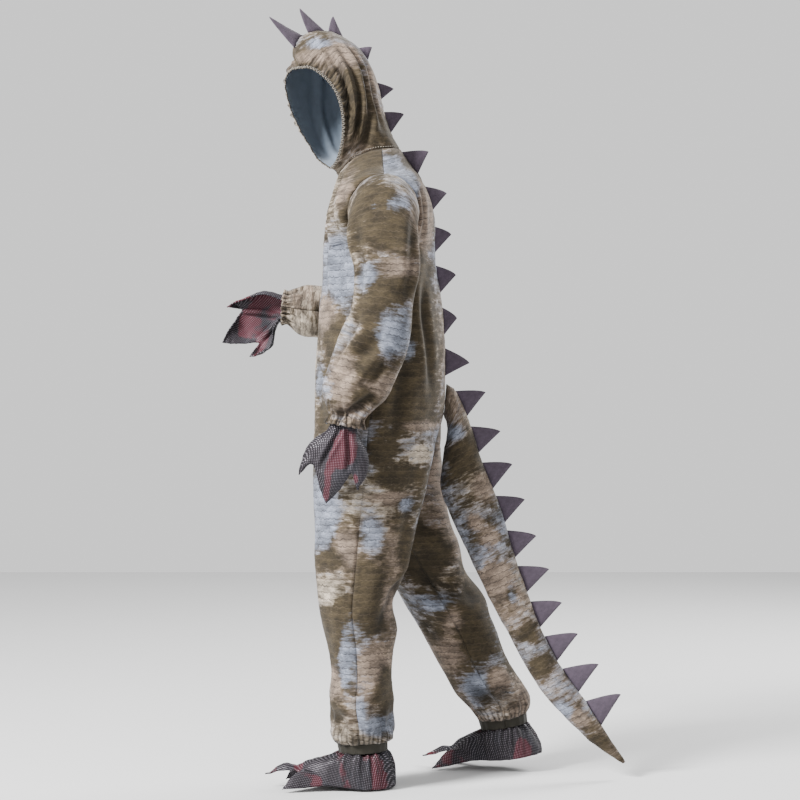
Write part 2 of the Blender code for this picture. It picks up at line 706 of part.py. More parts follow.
def make_hood(side):
    """Half the hood: rows from the face edge or the crown seam round the side to the back."""
    word = "left" if side > 0 else "right"
    face = along((FACE_EDGE_LEFT if side > 0 else FACE_EDGE_RIGHT)[::-1], HOOD_FACE_ROWS + 1)
    crown = along(CROWN_SEAM, HOOD_CROWN_ROWS + 1)
    starts = np.concatenate(([NECK_FRONT], face, crown[1:]))
    count = len(starts)
    ends = along(BACK_SEAM, count)
    sides = along(HOOD_SIDE_LEFT if side > 0 else HOOD_SIDE_RIGHT, count)
    facing = unit(FACE_DIRECTION)
    turn = math.radians(CROWN_TURN)
    across = side * np.array((math.cos(turn), math.sin(turn), 0.0))
    rows = [neck_curve(side)[::-1]]
    for number in range(1, count - 1):
        start, middle, end = starts[number], sides[number], ends[number]
        reach = np.linalg.norm(middle - start)
        away = unit(unit(start - np.array(FACE_CENTRE)) * 0.9 - facing * 0.7)
        over = float(ease((number - HOOD_FACE_ROWS + 2) / 4))
        leave = unit(away * (1 - over) + across * over)
        under = float(ease(1 - (number - 1) / 5))
        leave = unit(leave * (1 - under) + unit(middle - start + (side * 0.06, 0, 0)) * under)
        back = np.array((0.0, end[1] - middle[1], end[2] - middle[2])) * QUARTER_ARC
        width = max(abs(end[0] - middle[0]) * QUARTER_ARC, np.linalg.norm(end - middle) / 2)
        arrive = np.array((-side * width, 0.0, 0.0))
        front_row = cubic(start, leave * reach * 1.2, middle, unit(back) * reach,
                          np.linspace(0, 1, FRONT_COLUMNS + 1))
        back_row = cubic(middle, back, end, arrive, np.linspace(0, 1, BACK_COLUMNS + 1))
        if number <= HOOD_FACE_ROWS:
            fade = np.clip(1 - np.arange(FRONT_COLUMNS + 1) / 5, 0, 1)
            fade[0] = 0
            rim = unit(np.cross(away, starts[number + 1] - starts[number - 1]))
            wave = FACE_GATHER * (-1.0) ** number * (1 - under)
            front_row = front_row + fade[:, None] * wave * rim
        rows.append(np.concatenate((front_row, back_row[1:])))
    top = along(TOP_SEAM, FRONT_COLUMNS + BACK_COLUMNS + 1)
    rows.append(top)
    panel = Panel("hood_" + word)
    panel.inset = 1.5 * EDGE_INSET
    grid = np.array(rows)
    panel.add_grid(grid if side > 0 else grid[:, ::-1])
    return panel


def make_tail(side, seat):
    """Half the tail; its base follows the cloth of the seat."""
    word = "left" if side > 0 else "right"
    rows = []
    for y_under, z_under, y_top, z_top, half in TAIL_TABLE:
        turns = np.linspace(0, math.pi, TAIL_COLUMNS + 1)
        part = (1 - np.cos(turns)) / 2
        y = y_under + (y_top - y_under) * part
        z = z_under + (z_top - z_under) * part
        x = side * half * np.sin(turns)
        rows.append(np.column_stack((x, y, z)))
    for point in rows[0]:
        starts = [(point[0] + step, point[1] + TAIL_REACH, point[2])
                  for step in (-SEAM_GAP, SEAM_GAP)]
        hits = [seat.ray_cast(start, (0.0, -1.0, 0.0))[0] for start in starts]
        point[1] = max(hit[1] for hit in hits) + TAIL_GAP
    grid = np.array(rows)
    panel = Panel("tail_" + word)
    panel.add_grid(grid[:, ::-1] if side > 0 else grid)
    return panel


def back_line(normals):
    """Points and outward directions of the line that carries the spikes."""
    points = list(along(CROWN_SEAM, HOOD_CROWN_ROWS + 1))
    points += list(along(TOP_SEAM, FRONT_COLUMNS + BACK_COLUMNS + 1))[1:]
    points += list(along(BACK_SEAM, HOOD_FACE_ROWS + HOOD_CROWN_ROWS + 2))[-2::-1]
    points += list(upper_rows(1, True)[::-1, 0])[1:]
    legs, crotch, torso = body_heights()
    for height in torso[::-1]:
        points.append(body_ring(1, height)[-1])
    tail_tops = [np.array((0.0, row[2], row[3])) for row in TAIL_TABLE]
    points = [point for point in points if point[2] > tail_tops[0][2] + 0.004] + tail_tops
    outward = []
    for number, point in enumerate(points):
        found = normals.get(tuple(np.round(point, 5)))
        before, after = points[max(number - 1, 0)], points[min(number + 1, len(points) - 1)]
        way = unit(after - before)
        if found is None:
            found = np.cross((1.0, 0.0, 0.0), way)
        found = unit(found)
        outward.append(unit(found - way * found.dot(way)))
    return np.array(points), np.array(outward)


def make_spike(name, line, outward, row, holder):
    """A padded leaf that stands on the back line, with its base on the line's own curve."""
    place, base, height, lean = row
    places = np.concatenate(([0.0], np.cumsum(np.linalg.norm(np.diff(line, axis=0), axis=1))))

    def read(values, at):
        return np.array([np.interp(at, places, values[:, axis]) for axis in range(3)])

    middle = read(line, place)
    normal = unit(read(outward, place))
    way = unit(read(line, place + base / 2) - read(line, place - base / 2))
    normal = unit(normal - way * normal.dot(way))
    across = np.cross(normal, way)
    tip = middle + normal * height + way * lean
    sides = (-1.0, -0.34, 0.34, 1.0)
    # The straight edges of the base clear the curve of the line below them.
    spots = np.linspace(-1.0, 1.0, 25)
    rise = np.array([(read(line, place + spot * base / 2) - middle).dot(normal)
                     for spot in spots])
    lift = (rise - np.interp(spots, sides, np.interp(sides, spots, rise))).max()
    lift += 3 * SEAM_GAP
    points = []
    for face in (1, -1):
        for part in (0.0, 0.3, 0.6, 0.84):
            for side in sides:
                foot = read(line, place + side * base / 2) + normal * lift
                narrow = (1 - part) ** (0.70 if side < 0 else 1.05)
                thick = (SPIKE_THICKNESS / 2 * (1 - side * side) * (1 - part) ** 0.5
                         + SPIKE_EDGE / 2)
                points.append(middle + (tip - middle) * part + (foot - middle) * narrow
                              + across * face * thick)
    points.append(tip)
    count = len(sides)
    faces = []
    for face in (0, 1):
        start = face * 4 * count
        for row_number in range(3):
            for column in range(count - 1):
                first = start + row_number * count + column
                quad = (first, first + 1, first + count + 1, first + count)
                faces.append(quad if face else quad[::-1])
        for column in range(count - 1):
            first = start + 3 * count + column
            corner = (first, first + 1, 8 * count)
            faces.append(corner if face else corner[::-1])
    for row_number in range(3):
        for column, turned in ((0, False), (count - 1, True)):
            first = row_number * count + column
            quad = (first, first + count, first + 5 * count, first + 4 * count)
            faces.append(quad[::-1] if turned else quad)
    for column, turned in ((0, False), (count - 1, True)):
        first = 3 * count + column
        corner = (first, 8 * count, first + 4 * count)
        faces.append(corner[::-1] if turned else corner)
    for column in range(count - 1):
        faces.append((column, column + 4 * count, column + 4 * count + 1, column + 1)[::-1])
    return add_object(name, points, faces, "spike_felt", holder)


def claw_rows(base, tip, bulge, outward):
    """Rows of a claw from its base to near the tip: a cupped leaf."""
    base = np.array(base)
    middle = (base[0] + base[-1]) / 2
    spread = np.linspace(-1, 1, len(base))
    rows = []
    for part in (0.28, 0.56, 0.82):
        row = []
        for point, side in zip(base, spread):
            lift = bulge * (1 - side * side) * math.sin(math.pi * min(part + 0.25, 1.0))
            row.append(middle + (tip - middle) * part + (point - middle) * (1 - part) ** 0.72
                       + np.array(outward) * lift)
        rows.append(row)
    return rows


def add_claw(panel, base_numbers, tip, bulge, outward):
    base = [panel.points[number] for number in base_numbers]
    before = list(base_numbers)
    for row in claw_rows(base, tip, bulge, outward):
        start = len(panel.points)
        panel.points.extend(row)
        after = list(range(start, start + len(row)))
        panel.join(np.array((before, after)))
        before = after
    panel.points.append(tip)
    last = len(panel.points) - 1
    for first, second in zip(before, before[1:]):
        panel.faces.append((first, second, last))


def make_glove(side):
    """A cupped cover for the back of the hand, with three claws along its end."""
    word = "left" if side > 0 else "right"
    wrist = np.array(LEFT_WRIST if side > 0 else RIGHT_WRIST)
    hand_turn = LEFT_HAND_ANGLE if side > 0 else RIGHT_HAND_ANGLE
    cuff_turn = LEFT_CUFF_ANGLE if side > 0 else RIGHT_CUFF_ANGLE
    out = np.array((float(side), 0.0, 0.0))
    panel = Panel("glove_" + word, PADDED_CLOTH, "foil_cloth")
    rows = []
    for length, half_width, bulge, wrap, bend in HAND_TABLE:
        turn = math.radians(hand_turn + (cuff_turn - hand_turn) * bend)
        down = np.array((0.0, -math.sin(turn), -math.cos(turn)))
        front = np.array((0.0, -math.cos(turn), math.sin(turn)))
        row = []
        for edge in HAND_COLUMN_EDGES:
            angle = math.radians(edge * wrap)
            across = -half_width * math.sin(angle)
            height = bulge * math.cos(angle)
            row.append(wrist + down * length + front * across + out * height)
        rows.append(row)
    numbers = panel.add_grid(np.array(rows))
    for first, last, length, across in HAND_CLAWS:
        tip = wrist + down * length + front * across + out * 0.008
        add_claw(panel, numbers[-1, first:last + 1], tip, HAND_CLAW_BULGE, out)
    if side > 0:
        panel.faces = [face[::-1] for face in panel.faces]
    return panel


def foot_turns():
    """Angles of the hem's points from the toe, with the claws' columns first."""
    claw_columns = 3 * FOOT_CLAW_COLUMNS
    claws = np.linspace(-FOOT_CLAW_TURNS, FOOT_CLAW_TURNS, claw_columns + 1)
    rest = np.linspace(FOOT_CLAW_TURNS, 360 - FOOT_CLAW_TURNS, FOOT_COLUMNS - claw_columns + 1)
    return np.radians(np.concatenate((claws, rest[1:-1])))


def foot_place(points, side):
    """Moves points of the left foot's shape, around its ankle, to the left or right foot."""
    points = np.array(points, dtype=float)
    if side > 0:
        return points + (LEFT_FOOT[0], LEFT_FOOT[1], 0.0)
    toe = Matrix.Translation((0.0, -FOOT_FRONT, 0.0))
    pitch = Matrix.Rotation(math.radians(RIGHT_FOOT_PITCH), 4, "X")
    turn = Matrix.Rotation(math.radians(-RIGHT_FOOT_TURN), 4, "Z")
    place = Matrix.Translation((RIGHT_FOOT[0], RIGHT_FOOT[1] + RIGHT_FOOT_BACK_SHIFT, 0.0))
    whole = np.array(place @ turn @ toe @ pitch @ toe.inverted())
    points = points * (-1.0, 1.0, 1.0)
    return points @ whole[:3, :3].T + whole[:3, 3]


def make_boot(side):
    """A domed cover for the top of the foot, open below, with three toe claws."""
    word = "left" if side > 0 else "right"
    table = LEFT_LEG_TABLE if side > 0 else RIGHT_LEG_TABLE
    height, front, back, inner, outer, tilt = table[0]
    depth = (back - front) / 2 * BAND_TAPER
    width = (outer - inner) / 2 * BAND_TAPER
    panel = Panel("boot_" + word, PADDED_CLOTH, "foil_cloth")
    turns = foot_turns()
    lean = math.radians(tilt)
    drop = BAND_WIDTH + 2 * SEAM_GAP
    toward = -depth * np.cos(turns)
    top = np.column_stack((side * ((inner + outer) / 2 + width * np.sin(turns)),
                           (front + back) / 2 + toward + drop * math.sin(lean),
                           height - drop * math.cos(lean) + toward * math.tan(lean)))
    forward = np.clip(np.cos(turns), 0, 1)
    reach = np.where(np.cos(turns) > 0, FOOT_FRONT, FOOT_BACK)
    lift = FOOT_FRONT_LIFT * ease((np.cos(turns) - 0.35) / 0.45)
    hem = np.column_stack((FOOT_HALF_WIDTH * np.sin(turns), -reach * np.cos(turns),
                           0.004 + lift))
    hem = foot_place(hem, side)
    outward = foot_place(np.column_stack((np.sin(turns), -np.cos(turns), turns * 0)), side)
    outward -= foot_place(np.zeros((1, 3)), side)
    lines = []
    for start, end, way, ahead in zip(top, hem, outward, forward):
        far = np.linalg.norm(end - start)
        leave = unit(way * (0.5 + 0.9 * ahead) + (0, 0, -0.6))
        arrive = unit(way * ahead * 0.5 + (0, 0, -1.0))
        lines.append(cubic(start, leave * far, end, arrive * far * 0.9,
                           np.linspace(0, 1, FOOT_ROWS + 1)))
    grid = np.array(lines).transpose(1, 0, 2)
    numbers = panel.add_grid(grid, closed=True)
    for first, across, ahead, up in FOOT_CLAWS:
        tip = foot_place(np.array([(across, -ahead, up)]), side)[0]
        add_claw(panel, numbers[-1, first:first + FOOT_CLAW_COLUMNS + 1], tip,
                 FOOT_CLAW_BULGE, (0, -0.2, 0.98))
    if side > 0:
        panel.faces = [face[::-1] for face in panel.faces]
    return panel


def make_ankle_band(side):
    """The elastic band that ends the leg."""
    word = "left" if side > 0 else "right"
    table = LEFT_LEG_TABLE if side > 0 else RIGHT_LEG_TABLE
    hem = body_ring(side, table[0][0])[:-1]
    tilt = math.radians(table[0][5])
    down = np.array((0.0, math.sin(tilt), -math.cos(tilt)))
    middle = hem.mean(axis=0)
    rows = []
    for part in (1.0, 0.5, 0.0):
        taper = 1 - (1 - BAND_TAPER) * part
        rows.append(middle + (hem - middle) * taper + down * BAND_WIDTH * part)
    panel = Panel("ankle_band_" + word, CLOTH, "elastic")
    grid = np.array(rows)
    panel.add_grid(grid if side > 0 else grid[:, ::-1], closed=True)
    return panel


def make_face_elastic():
    """The elastic edge that draws the hood in round the face."""
    left = along(FACE_EDGE_LEFT, HOOD_FACE_ROWS + 1)
    right = along(FACE_EDGE_RIGHT, HOOD_FACE_ROWS + 1)
    edge = np.concatenate((left, right[::-1][1:-1]))
    facing = unit(FACE_DIRECTION)
    inner = []
    for point in edge:
        away = unit(unit(point - np.array(FACE_CENTRE)) * 0.9 - facing * 0.7)
        inner.append(point - away * ELASTIC_WIDTH)
    panel = Panel("face_elastic", CLOTH, "elastic")
    panel.inset = 2 * EDGE_INSET
    panel.add_grid(np.array((inner, edge)), closed=True)
    return panel


def build():
    for old in list(bpy.data.objects):
        bpy.data.objects.remove(old)
    collection = bpy.data.collections.new("dinosaur_costume")
    bpy.context.scene.collection.children.link(collection)
    holder = bpy.data.objects.new("costume", None)
    holder.location = [-value for value in ORIGIN]
    collection.objects.link(holder)

    suit = [make_face_elastic()]
    for side in (1, -1):
        suit += make_body(side)
        suit += [make_sleeve(side), make_hood(side), make_ankle_band(side)]
    covers = []
    for side in (1, -1):
        covers += [make_glove(side), make_boot(side)]
    normals = share_normals(suit)
    seat_points = []
    seat_faces = []
    for panel in suit:
        if panel.name.startswith("back"):
            seat_faces += [tuple(number + len(seat_points) for number in face)
                           for face in triangles(panel.points, panel.faces)]
            seat_points += [tuple(point) for point in panel.points]
    seat = BVHTree.FromPolygons(seat_points, seat_faces)
    tail = [make_tail(side, seat) for side in (1, -1)]
    share_normals(tail)
    for panel in tail:
        # The wall's end lies along the seat.
        panel.normals[:TAIL_COLUMNS + 1, 1] = 0.0
        panel.normals = np.array([unit(normal) for normal in panel.normals])
    share_normals(covers)
    line, outward = back_line(normals)
    for panel in suit + tail + covers:
        inset_edges(panel)
        if panel.name.startswith("sleeve"):
            head = panel.points[:SLEEVE_COLUMNS]
            head += np.sign(head[:, :1]) * (SEAM_GAP, 0.0, 0.0)
        add_wall(panel, holder)
    for number, row in enumerate(SPIKE_TABLE, start=1):
        make_spike(f"spike_{number:02d}", line, outward, row, holder)


build()
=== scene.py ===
import math

import bmesh
import bpy
import numpy as np
from mathutils import Matrix, Vector
from mathutils.bvhtree import BVHTree
from mathutils.kdtree import KDTree


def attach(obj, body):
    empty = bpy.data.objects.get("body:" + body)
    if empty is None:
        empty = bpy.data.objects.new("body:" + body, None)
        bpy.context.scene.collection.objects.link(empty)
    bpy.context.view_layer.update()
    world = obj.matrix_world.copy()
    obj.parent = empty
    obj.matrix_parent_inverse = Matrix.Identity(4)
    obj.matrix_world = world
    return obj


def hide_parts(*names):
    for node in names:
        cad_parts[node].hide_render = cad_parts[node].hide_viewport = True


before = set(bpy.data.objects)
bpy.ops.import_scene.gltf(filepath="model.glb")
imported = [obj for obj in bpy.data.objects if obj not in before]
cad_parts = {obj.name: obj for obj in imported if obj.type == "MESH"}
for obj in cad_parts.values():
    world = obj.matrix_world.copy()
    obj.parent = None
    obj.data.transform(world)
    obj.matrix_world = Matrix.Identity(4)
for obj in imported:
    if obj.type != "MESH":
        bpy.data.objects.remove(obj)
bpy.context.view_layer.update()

# Dimensions shared with the solids, in metres from the floor under the costume
CLOTH = 0.002
PADDED_CLOTH = 0.003
SEAM_GAP = 0.0003
EDGE_INSET = 0.65 * SEAM_GAP
ORIGIN = np.array((0.0, -0.070, 1.450))
CROTCH_TOP = 0.910
CROTCH = 0.775
UNDERARM = 1.248
ARMHOLE_CENTRE_Y = -0.035
ARMHOLE_HALF_DEPTH = 0.078
ARMHOLE_HALF_HEIGHT = 0.077
ARMHOLE_BOTTOM_X = 0.171
ARMHOLE_TOP_X = 0.195
NECK_POINT = (0.080, -0.041, 1.4755)
NECK_FRONT = (0.0, -0.150, 1.422)
NECK_BACK = (0.0, 0.000, 1.484)

FINE = 4                     # parts in each row and column of the solids
FRONT_COLUMNS = 9 * FINE
BACK_COLUMNS = 9 * FINE
TORSO_ROWS = 7 * FINE
CROTCH_TURNS = (90, 72, 54, 36, 18, 5, 0)
LEG_ROWS = 14 * FINE
ARMHOLE_ROWS = 10 * FINE
SHOULDER_ROWS = 3 * FINE
SLEEVE_CAP_ROWS = 4 * FINE
CAP_LEAVE = 0.85
SLEEVE_ROWS = 11 * FINE
SLEEVE_COLUMNS = 2 * ARMHOLE_ROWS
SLEEVE_GATHERS = 10
HOOD_FACE_ROWS = 14 * FINE
HOOD_CROWN_ROWS = 4 * FINE
TAIL_COLUMNS = 6 * FINE
ELASTIC_WIDTH = 0.007
EDGING_CUT = 0.010           # the edging's strip, with the part sewn under
BAND_WIDTH = 0.022
BAND_TAPER = 0.97
TAIL_REACH = 0.1
TAIL_GAP = 0.0015
CUFF_GATHER = 0.0024
ANKLE_GATHER_REACH = 0.075
SPIKE_THICKNESS = 0.007
SPIKE_EDGE = 0.0016
QUARTER_ARC = 1.657
COVER_LEVELS = 3
SPIKE_COLUMNS = 13
SPIKE_ROWS = 14

# Soft folds that the solids have too: over the ankle, and at three places by the knee
BLOUSE_HEIGHTS = {1: 0.165, -1: 0.190}
BLOUSE_REACH = 0.060
BLOUSE_DEPTH = 0.003
KNEE_HEIGHTS = {1: 0.45, -1: 0.50}
KNEE_FOLDS = (
    # above knee, depth
    (0.05, 0.006),
    (-0.02, -0.005),
    (-0.09, 0.005),
)
KNEE_FOLD_REACH = 0.045
KNEE_FOLD_ANGLE = 200        # where round the leg the folds are deepest

# Seams and claws
SIDE_SEAM_ON_LEG = 84.0      # degrees from the centre front
SIDE_SEAM_UNDER_ARM = 96.0
SIDE_SEAM_TURN = 0.80        # height from which the side seam leans back
LEG_BLEND = 0.10             # how far below the crotch the legs start to share their seams
SHOULDER_DIP = 0.006
HOOD_FULLNESS = 1.2
CLAW_PARTS = (0.28, 0.56, 0.82)
CLAW_NARROWING = 0.72
LOOK_AHEAD = 0.001           # step that finds the way along a line

# Pleats that elastic or a seam draws in: how many go round, depth and reach
CUFF_GATHER_REACH = 0.075
ANKLE_PLEATS = 15
ANKLE_PLEAT_DEPTH = 0.0030
CUFF_PLEATS = 17
CUFF_PLEAT_DEPTH = 0.0042
CUFF_PLEAT_REACH = 0.070
HOOD_PLEAT_DEPTH = 0.0050
HOOD_PLEAT_REACH = 0.042
BOOT_PLEATS = 15
BOOT_PLEAT_DEPTH = 0.0034
BOOT_PLEAT_REACH = 0.055
BOOT_GROOVE_DEPTH = 0.005
BAND_RIB = 0.0009
EDGING_RIB = 0.0008

# The cloth's uneven lie: depth and wave length of its waves, and its dip beside a seam
WAVE_COUNT = 7               # waves of different ways and lengths, laid over each other
WIDE_WAVES = (0.0022, 0.110)
CLOSE_WAVES = (0.0011, 0.048)
SMALL_WAVES = (0.00035, 0.019)
SEAM_WAVES = (0.0008, 0.016)
ELASTIC_WAVES = (0.0005, 0.030)
FELT_WAVES = (0.00035, 0.014)
SEAM_DIP = 0.0013
SEAM_DIP_REACH = 0.0040
SEAM_WAVES_REACH = 0.0140
TAIL_LOOSENESS = 0.5         # of the waves on the suit
HOOD_LOOSENESS = 0.6
FULL_FOLD_SHADE_DEPTH = 0.012         # cloth this far in gets the full painted fold shade
LEAST_AREA_SHARE = 0.31      # of the flat rectangle that a piece is cut from

# Stitches: distance from one to the next, length and radius of the thread
FACE_STITCHES = (0.0046, 0.0082, 0.00075)
NECK_STITCHES = (0.0062, 0.0040, 0.0008)
STITCH_RINGS = 5
STITCH_SIDES = 4

# Stage
FLOOR_TONE = 0.52
FLOOR_DROP = 0.001
WORLD_STRENGTH = 1.05
CAMERA_LENS = 95.4
CAMERA_DISTANCE = 5.0
CAMERA_HEIGHT = 0.892

# Torso: height, front and back of the outline, half width
TORSO_TABLE = (
    # z,     y_front, y_back, half_width
    (0.775, -0.2010, 0.0960, 0.213),
    (0.850, -0.2005, 0.1040, 0.208),
    (0.910, -0.1990, 0.1090, 0.200),
    (1.000, -0.1970, 0.1080, 0.188),
    (1.084, -0.1930, 0.1000, 0.180),
    (1.175, -0.1840, 0.0880, 0.174),
    (1.248, -0.1810, 0.0820, 0.172),
    (1.313, -0.1720, 0.0785, 0.172),
    (1.350, -0.1640, 0.0720, 0.172),
    (1.394, -0.1550, 0.0570, 0.172),
    (1.422, -0.1500, 0.0430, 0.172),
    (1.454, -0.1480, 0.0180, 0.172),
    (1.484, -0.1480, 0.0000, 0.172),
)

# Legs: height, front and back of the outline, inner and outer side, ring's tilt in degrees
LEFT_LEG_TABLE = (
    # z,    y_front, y_back, x_inner, x_outer, tilt
    (0.106, -0.1440, -0.0280, 0.060, 0.170, 3),
    (0.140, -0.1560, -0.0140, 0.040, 0.193, 0),
    (0.190, -0.1640, -0.0190, 0.036, 0.196, 0),
    (0.259, -0.1580, -0.0210, 0.034, 0.194, 0),
    (0.326, -0.1660, -0.0170, 0.030, 0.194, 0),
    (0.411, -0.1840, -0.0150, 0.024, 0.198, 0),
    (0.503, -0.1930, 0.0130, 0.016, 0.204, 0),
    (0.613, -0.1980, 0.0410, 0.008, 0.210, 0),
    (0.719, -0.2000, 0.0660, 0.004, 0.213, 0),
    (0.775, -0.2010, 0.0800, 0.003, 0.213, 0),
)
RIGHT_LEG_TABLE = (
    # z,    y_front, y_back, x_inner, x_outer, tilt
    (0.128, 0.1900, 0.3060, 0.067, 0.181, 10),
    (0.158, 0.1700, 0.3110, 0.045, 0.204, 10),
    (0.200, 0.1320, 0.2900, 0.040, 0.206, 9),
    (0.265, 0.0915, 0.2560, 0.036, 0.204, 6),
    (0.350, 0.0460, 0.2240, 0.032, 0.204, 3),
    (0.425, -0.0020, 0.1900, 0.026, 0.206, 0),
    (0.500, -0.0550, 0.1500, 0.018, 0.208, 0),
    (0.600, -0.1180, 0.1200, 0.009, 0.211, 0),
    (0.700, -0.1720, 0.1050, 0.004, 0.213, 0),
    (0.775, -0.1950, 0.0980, 0.003, 0.213, 0),
)
LEG_TABLES = {1: LEFT_LEG_TABLE, -1: RIGHT_LEG_TABLE}

# Sleeves: ring centre, half width across, half depth along the arm's front to back, tilt
LEFT_SLEEVE_TABLE = (
    # x,     y,      z,     half_across, half_depth, tilt
    (0.242, -0.036, 1.230, 0.051, 0.077, 0),
    (0.245, -0.030, 1.190, 0.055, 0.073, 0),
    (0.251, -0.038, 1.110, 0.056, 0.067, -6),
    (0.258, -0.056, 1.030, 0.058, 0.075, -14),
    (0.264, -0.084, 0.950, 0.056, 0.077, -14),
    (0.266, -0.104, 0.900, 0.051, 0.071, -12),
    (0.266, -0.116, 0.868, 0.041, 0.046, -10),
    (0.266, -0.119, 0.853, 0.036, 0.037, -10),
    (0.266, -0.123, 0.833, 0.042, 0.044, -10),
)
RIGHT_SLEEVE_TABLE = (
    # x,     y,      z,     half_across, half_depth, tilt
    (0.242, -0.036, 1.230, 0.051, 0.076, 0),
    (0.245, -0.028, 1.200, 0.056, 0.074, -6),
    (0.249, -0.028, 1.168, 0.058, 0.072, -18),
    (0.250, -0.046, 1.126, 0.060, 0.070, -46),
    (0.248, -0.084, 1.106, 0.060, 0.066, -76),
    (0.243, -0.140, 1.103, 0.059, 0.063, -88),
    (0.236, -0.200, 1.108, 0.060, 0.064, -92),
    (0.229, -0.245, 1.113, 0.054, 0.058, -94),
    (0.225, -0.266, 1.116, 0.040, 0.042, -94),
    (0.223, -0.276, 1.117, 0.035, 0.036, -94),
    (0.221, -0.290, 1.118, 0.040, 0.041, -94),
)

# Hood: the elastic edge of the face opening, from the forehead to the chin
FACE_EDGE_LEFT = (
    # x,     y,      z
    (0.078, -0.236, 1.667),
    (0.105, -0.205, 1.663),
    (0.118, -0.165, 1.633),
    (0.122, -0.145, 1.605),
    (0.119, -0.128, 1.545),
    (0.107, -0.128, 1.507),
    (0.086, -0.134, 1.475),
    (0.055, -0.146, 1.446),
    (0.022, -0.160, 1.433),
)
FACE_EDGE_RIGHT = (
    # x,     y,      z
    (0.078, -0.236, 1.667),
    (0.055, -0.256, 1.664),
    (0.030, -0.270, 1.642),
    (0.016, -0.266, 1.605),
    (0.008, -0.254, 1.565),
    (0.001, -0.233, 1.521),
    (-0.003, -0.213, 1.488),
    (-0.001, -0.189, 1.453),
    (0.022, -0.160, 1.433),
)
# Hood: the centre seam from the forehead to the crown, and from the nape to the crown
CROWN_SEAM = (
    # x,     y,      z
    (0.078, -0.236, 1.667),
    (0.071, -0.247, 1.697),
    (0.057, -0.241, 1.728),
    (0.037, -0.219, 1.750),
    (0.018, -0.188, 1.760),
)
TOP_SEAM = (
    # x,     y,      z
    (0.018, -0.188, 1.760),
    (0.006, -0.158, 1.759),
    (-0.006, -0.126, 1.745),
)
BACK_SEAM = (
    # x,     y,      z
    (0.000, 0.000, 1.484),
    (-0.008, -0.019, 1.520),
    (-0.020, -0.038, 1.575),
    (-0.028, -0.052, 1.632),
    (-0.026, -0.070, 1.681),
    (-0.017, -0.096, 1.720),
    (-0.006, -0.126, 1.745),
)
# Hood: its widest line on each side, from the neck to the crown
HOOD_SIDE_LEFT = (
    # x,     y,      z
    (0.080, -0.041, 1.4755),
    (0.090, -0.060, 1.510),
    (0.112, -0.090, 1.570),
    (0.120, -0.112, 1.630),
    (0.107, -0.130, 1.690),
    (0.070, -0.146, 1.737),
    (0.006, -0.158, 1.759),
)
HOOD_SIDE_RIGHT = (
    # x,     y,      z
    (-0.080, -0.041, 1.4755),
    (-0.084, -0.080, 1.515),
    (-0.096, -0.125, 1.575),
    (-0.102, -0.145, 1.635),
    (-0.090, -0.155, 1.695),
    (-0.052, -0.158, 1.741),
    (0.006, -0.158, 1.759),
)
FACE_CENTRE = (0.062, -0.200, 1.555)
FACE_DIRECTION = (0.70, -0.70, 0.10)
CROWN_TURN = 25.0            # the crown seam runs this far off straight back

# Tail: under seam, top seam and half thickness from the seat to the tip
TAIL_TABLE = (
    # y_under, z_under, y_top, z_top, half_thickness
    (0.1010, 0.8580, 0.1220, 0.9320, 0.036),
    (0.1120, 0.8240, 0.1470, 0.8850, 0.042),
    (0.1040, 0.7790, 0.1680, 0.8300, 0.046),
    (0.0980, 0.7340, 0.1840, 0.7790, 0.046),
    (0.0960, 0.6800, 0.2010, 0.7280, 0.047),
    (0.1160, 0.6240, 0.2230, 0.6720, 0.047),
    (0.1420, 0.5700, 0.2440, 0.6120, 0.046),
    (0.1720, 0.5050, 0.2640, 0.5460, 0.043),
    (0.2080, 0.4310, 0.2900, 0.4680, 0.039),
    (0.2480, 0.3540, 0.3200, 0.3870, 0.035),
    (0.2850, 0.2840, 0.3530, 0.3140, 0.032),
    (0.3290, 0.2150, 0.3920, 0.2450, 0.030),
    (0.3790, 0.1540, 0.4370, 0.1830, 0.027),
    (0.4330, 0.0990, 0.4780, 0.1190, 0.021),
    (0.4820, 0.0630, 0.5080, 0.0720, 0.013),
    (0.5260, 0.0360, 0.5320, 0.0390, 0.004),
)

# Spikes: place of the base's middle along the back line from the forehead, length of the
# base, height, and how far the tip leans along the line
SPIKE_TABLE = (
    # place, base,  height, lean
    (0.070, 0.046, 0.088, -0.004),
    (0.132, 0.046, 0.060, -0.032),
    (0.183, 0.042, 0.036, -0.022),
    (0.264, 0.042, 0.030, 0.000),
    (0.359, 0.044, 0.034, 0.004),
    (0.440, 0.056, 0.045, -0.006),
    (0.554, 0.066, 0.053, 0.006),
    (0.652, 0.066, 0.045, -0.003),
    (0.750, 0.067, 0.045, -0.010),
    (0.845, 0.069, 0.045, -0.005),
    (0.944, 0.069, 0.034, -0.004),
    (1.041, 0.068, 0.058, 0.001),
    (1.153, 0.067, 0.063, 0.001),
    (1.244, 0.067, 0.064, 0.001),
    (1.335, 0.068, 0.065, -0.002),
    (1.420, 0.068, 0.062, -0.002),
    (1.506, 0.068, 0.064, -0.001),
    (1.593, 0.066, 0.068, 0.000),
    (1.682, 0.066, 0.070, -0.003),
    (1.771, 0.066, 0.074, -0.002),
    (1.859, 0.068, 0.078, 0.007),
    (1.954, 0.069, 0.080, -0.003),
)

# Hand cover: length along the hand, half width, bulge, half the angle that it wraps, and how
# much of the bend between the cuff and the hand is in that row
HAND_TABLE = (
    # along,  half_width, bulge, wrap, bend
    (-0.014, 0.0270, 0.0240, 150, 1.0),
    (0.020, 0.0310, 0.0280, 140, 1.0),
    (0.042, 0.0570, 0.0320, 125, 0.5),
    (0.068, 0.0730, 0.0320, 110, 0.0),
    (0.100, 0.0750, 0.0280, 100, 0.0),
)
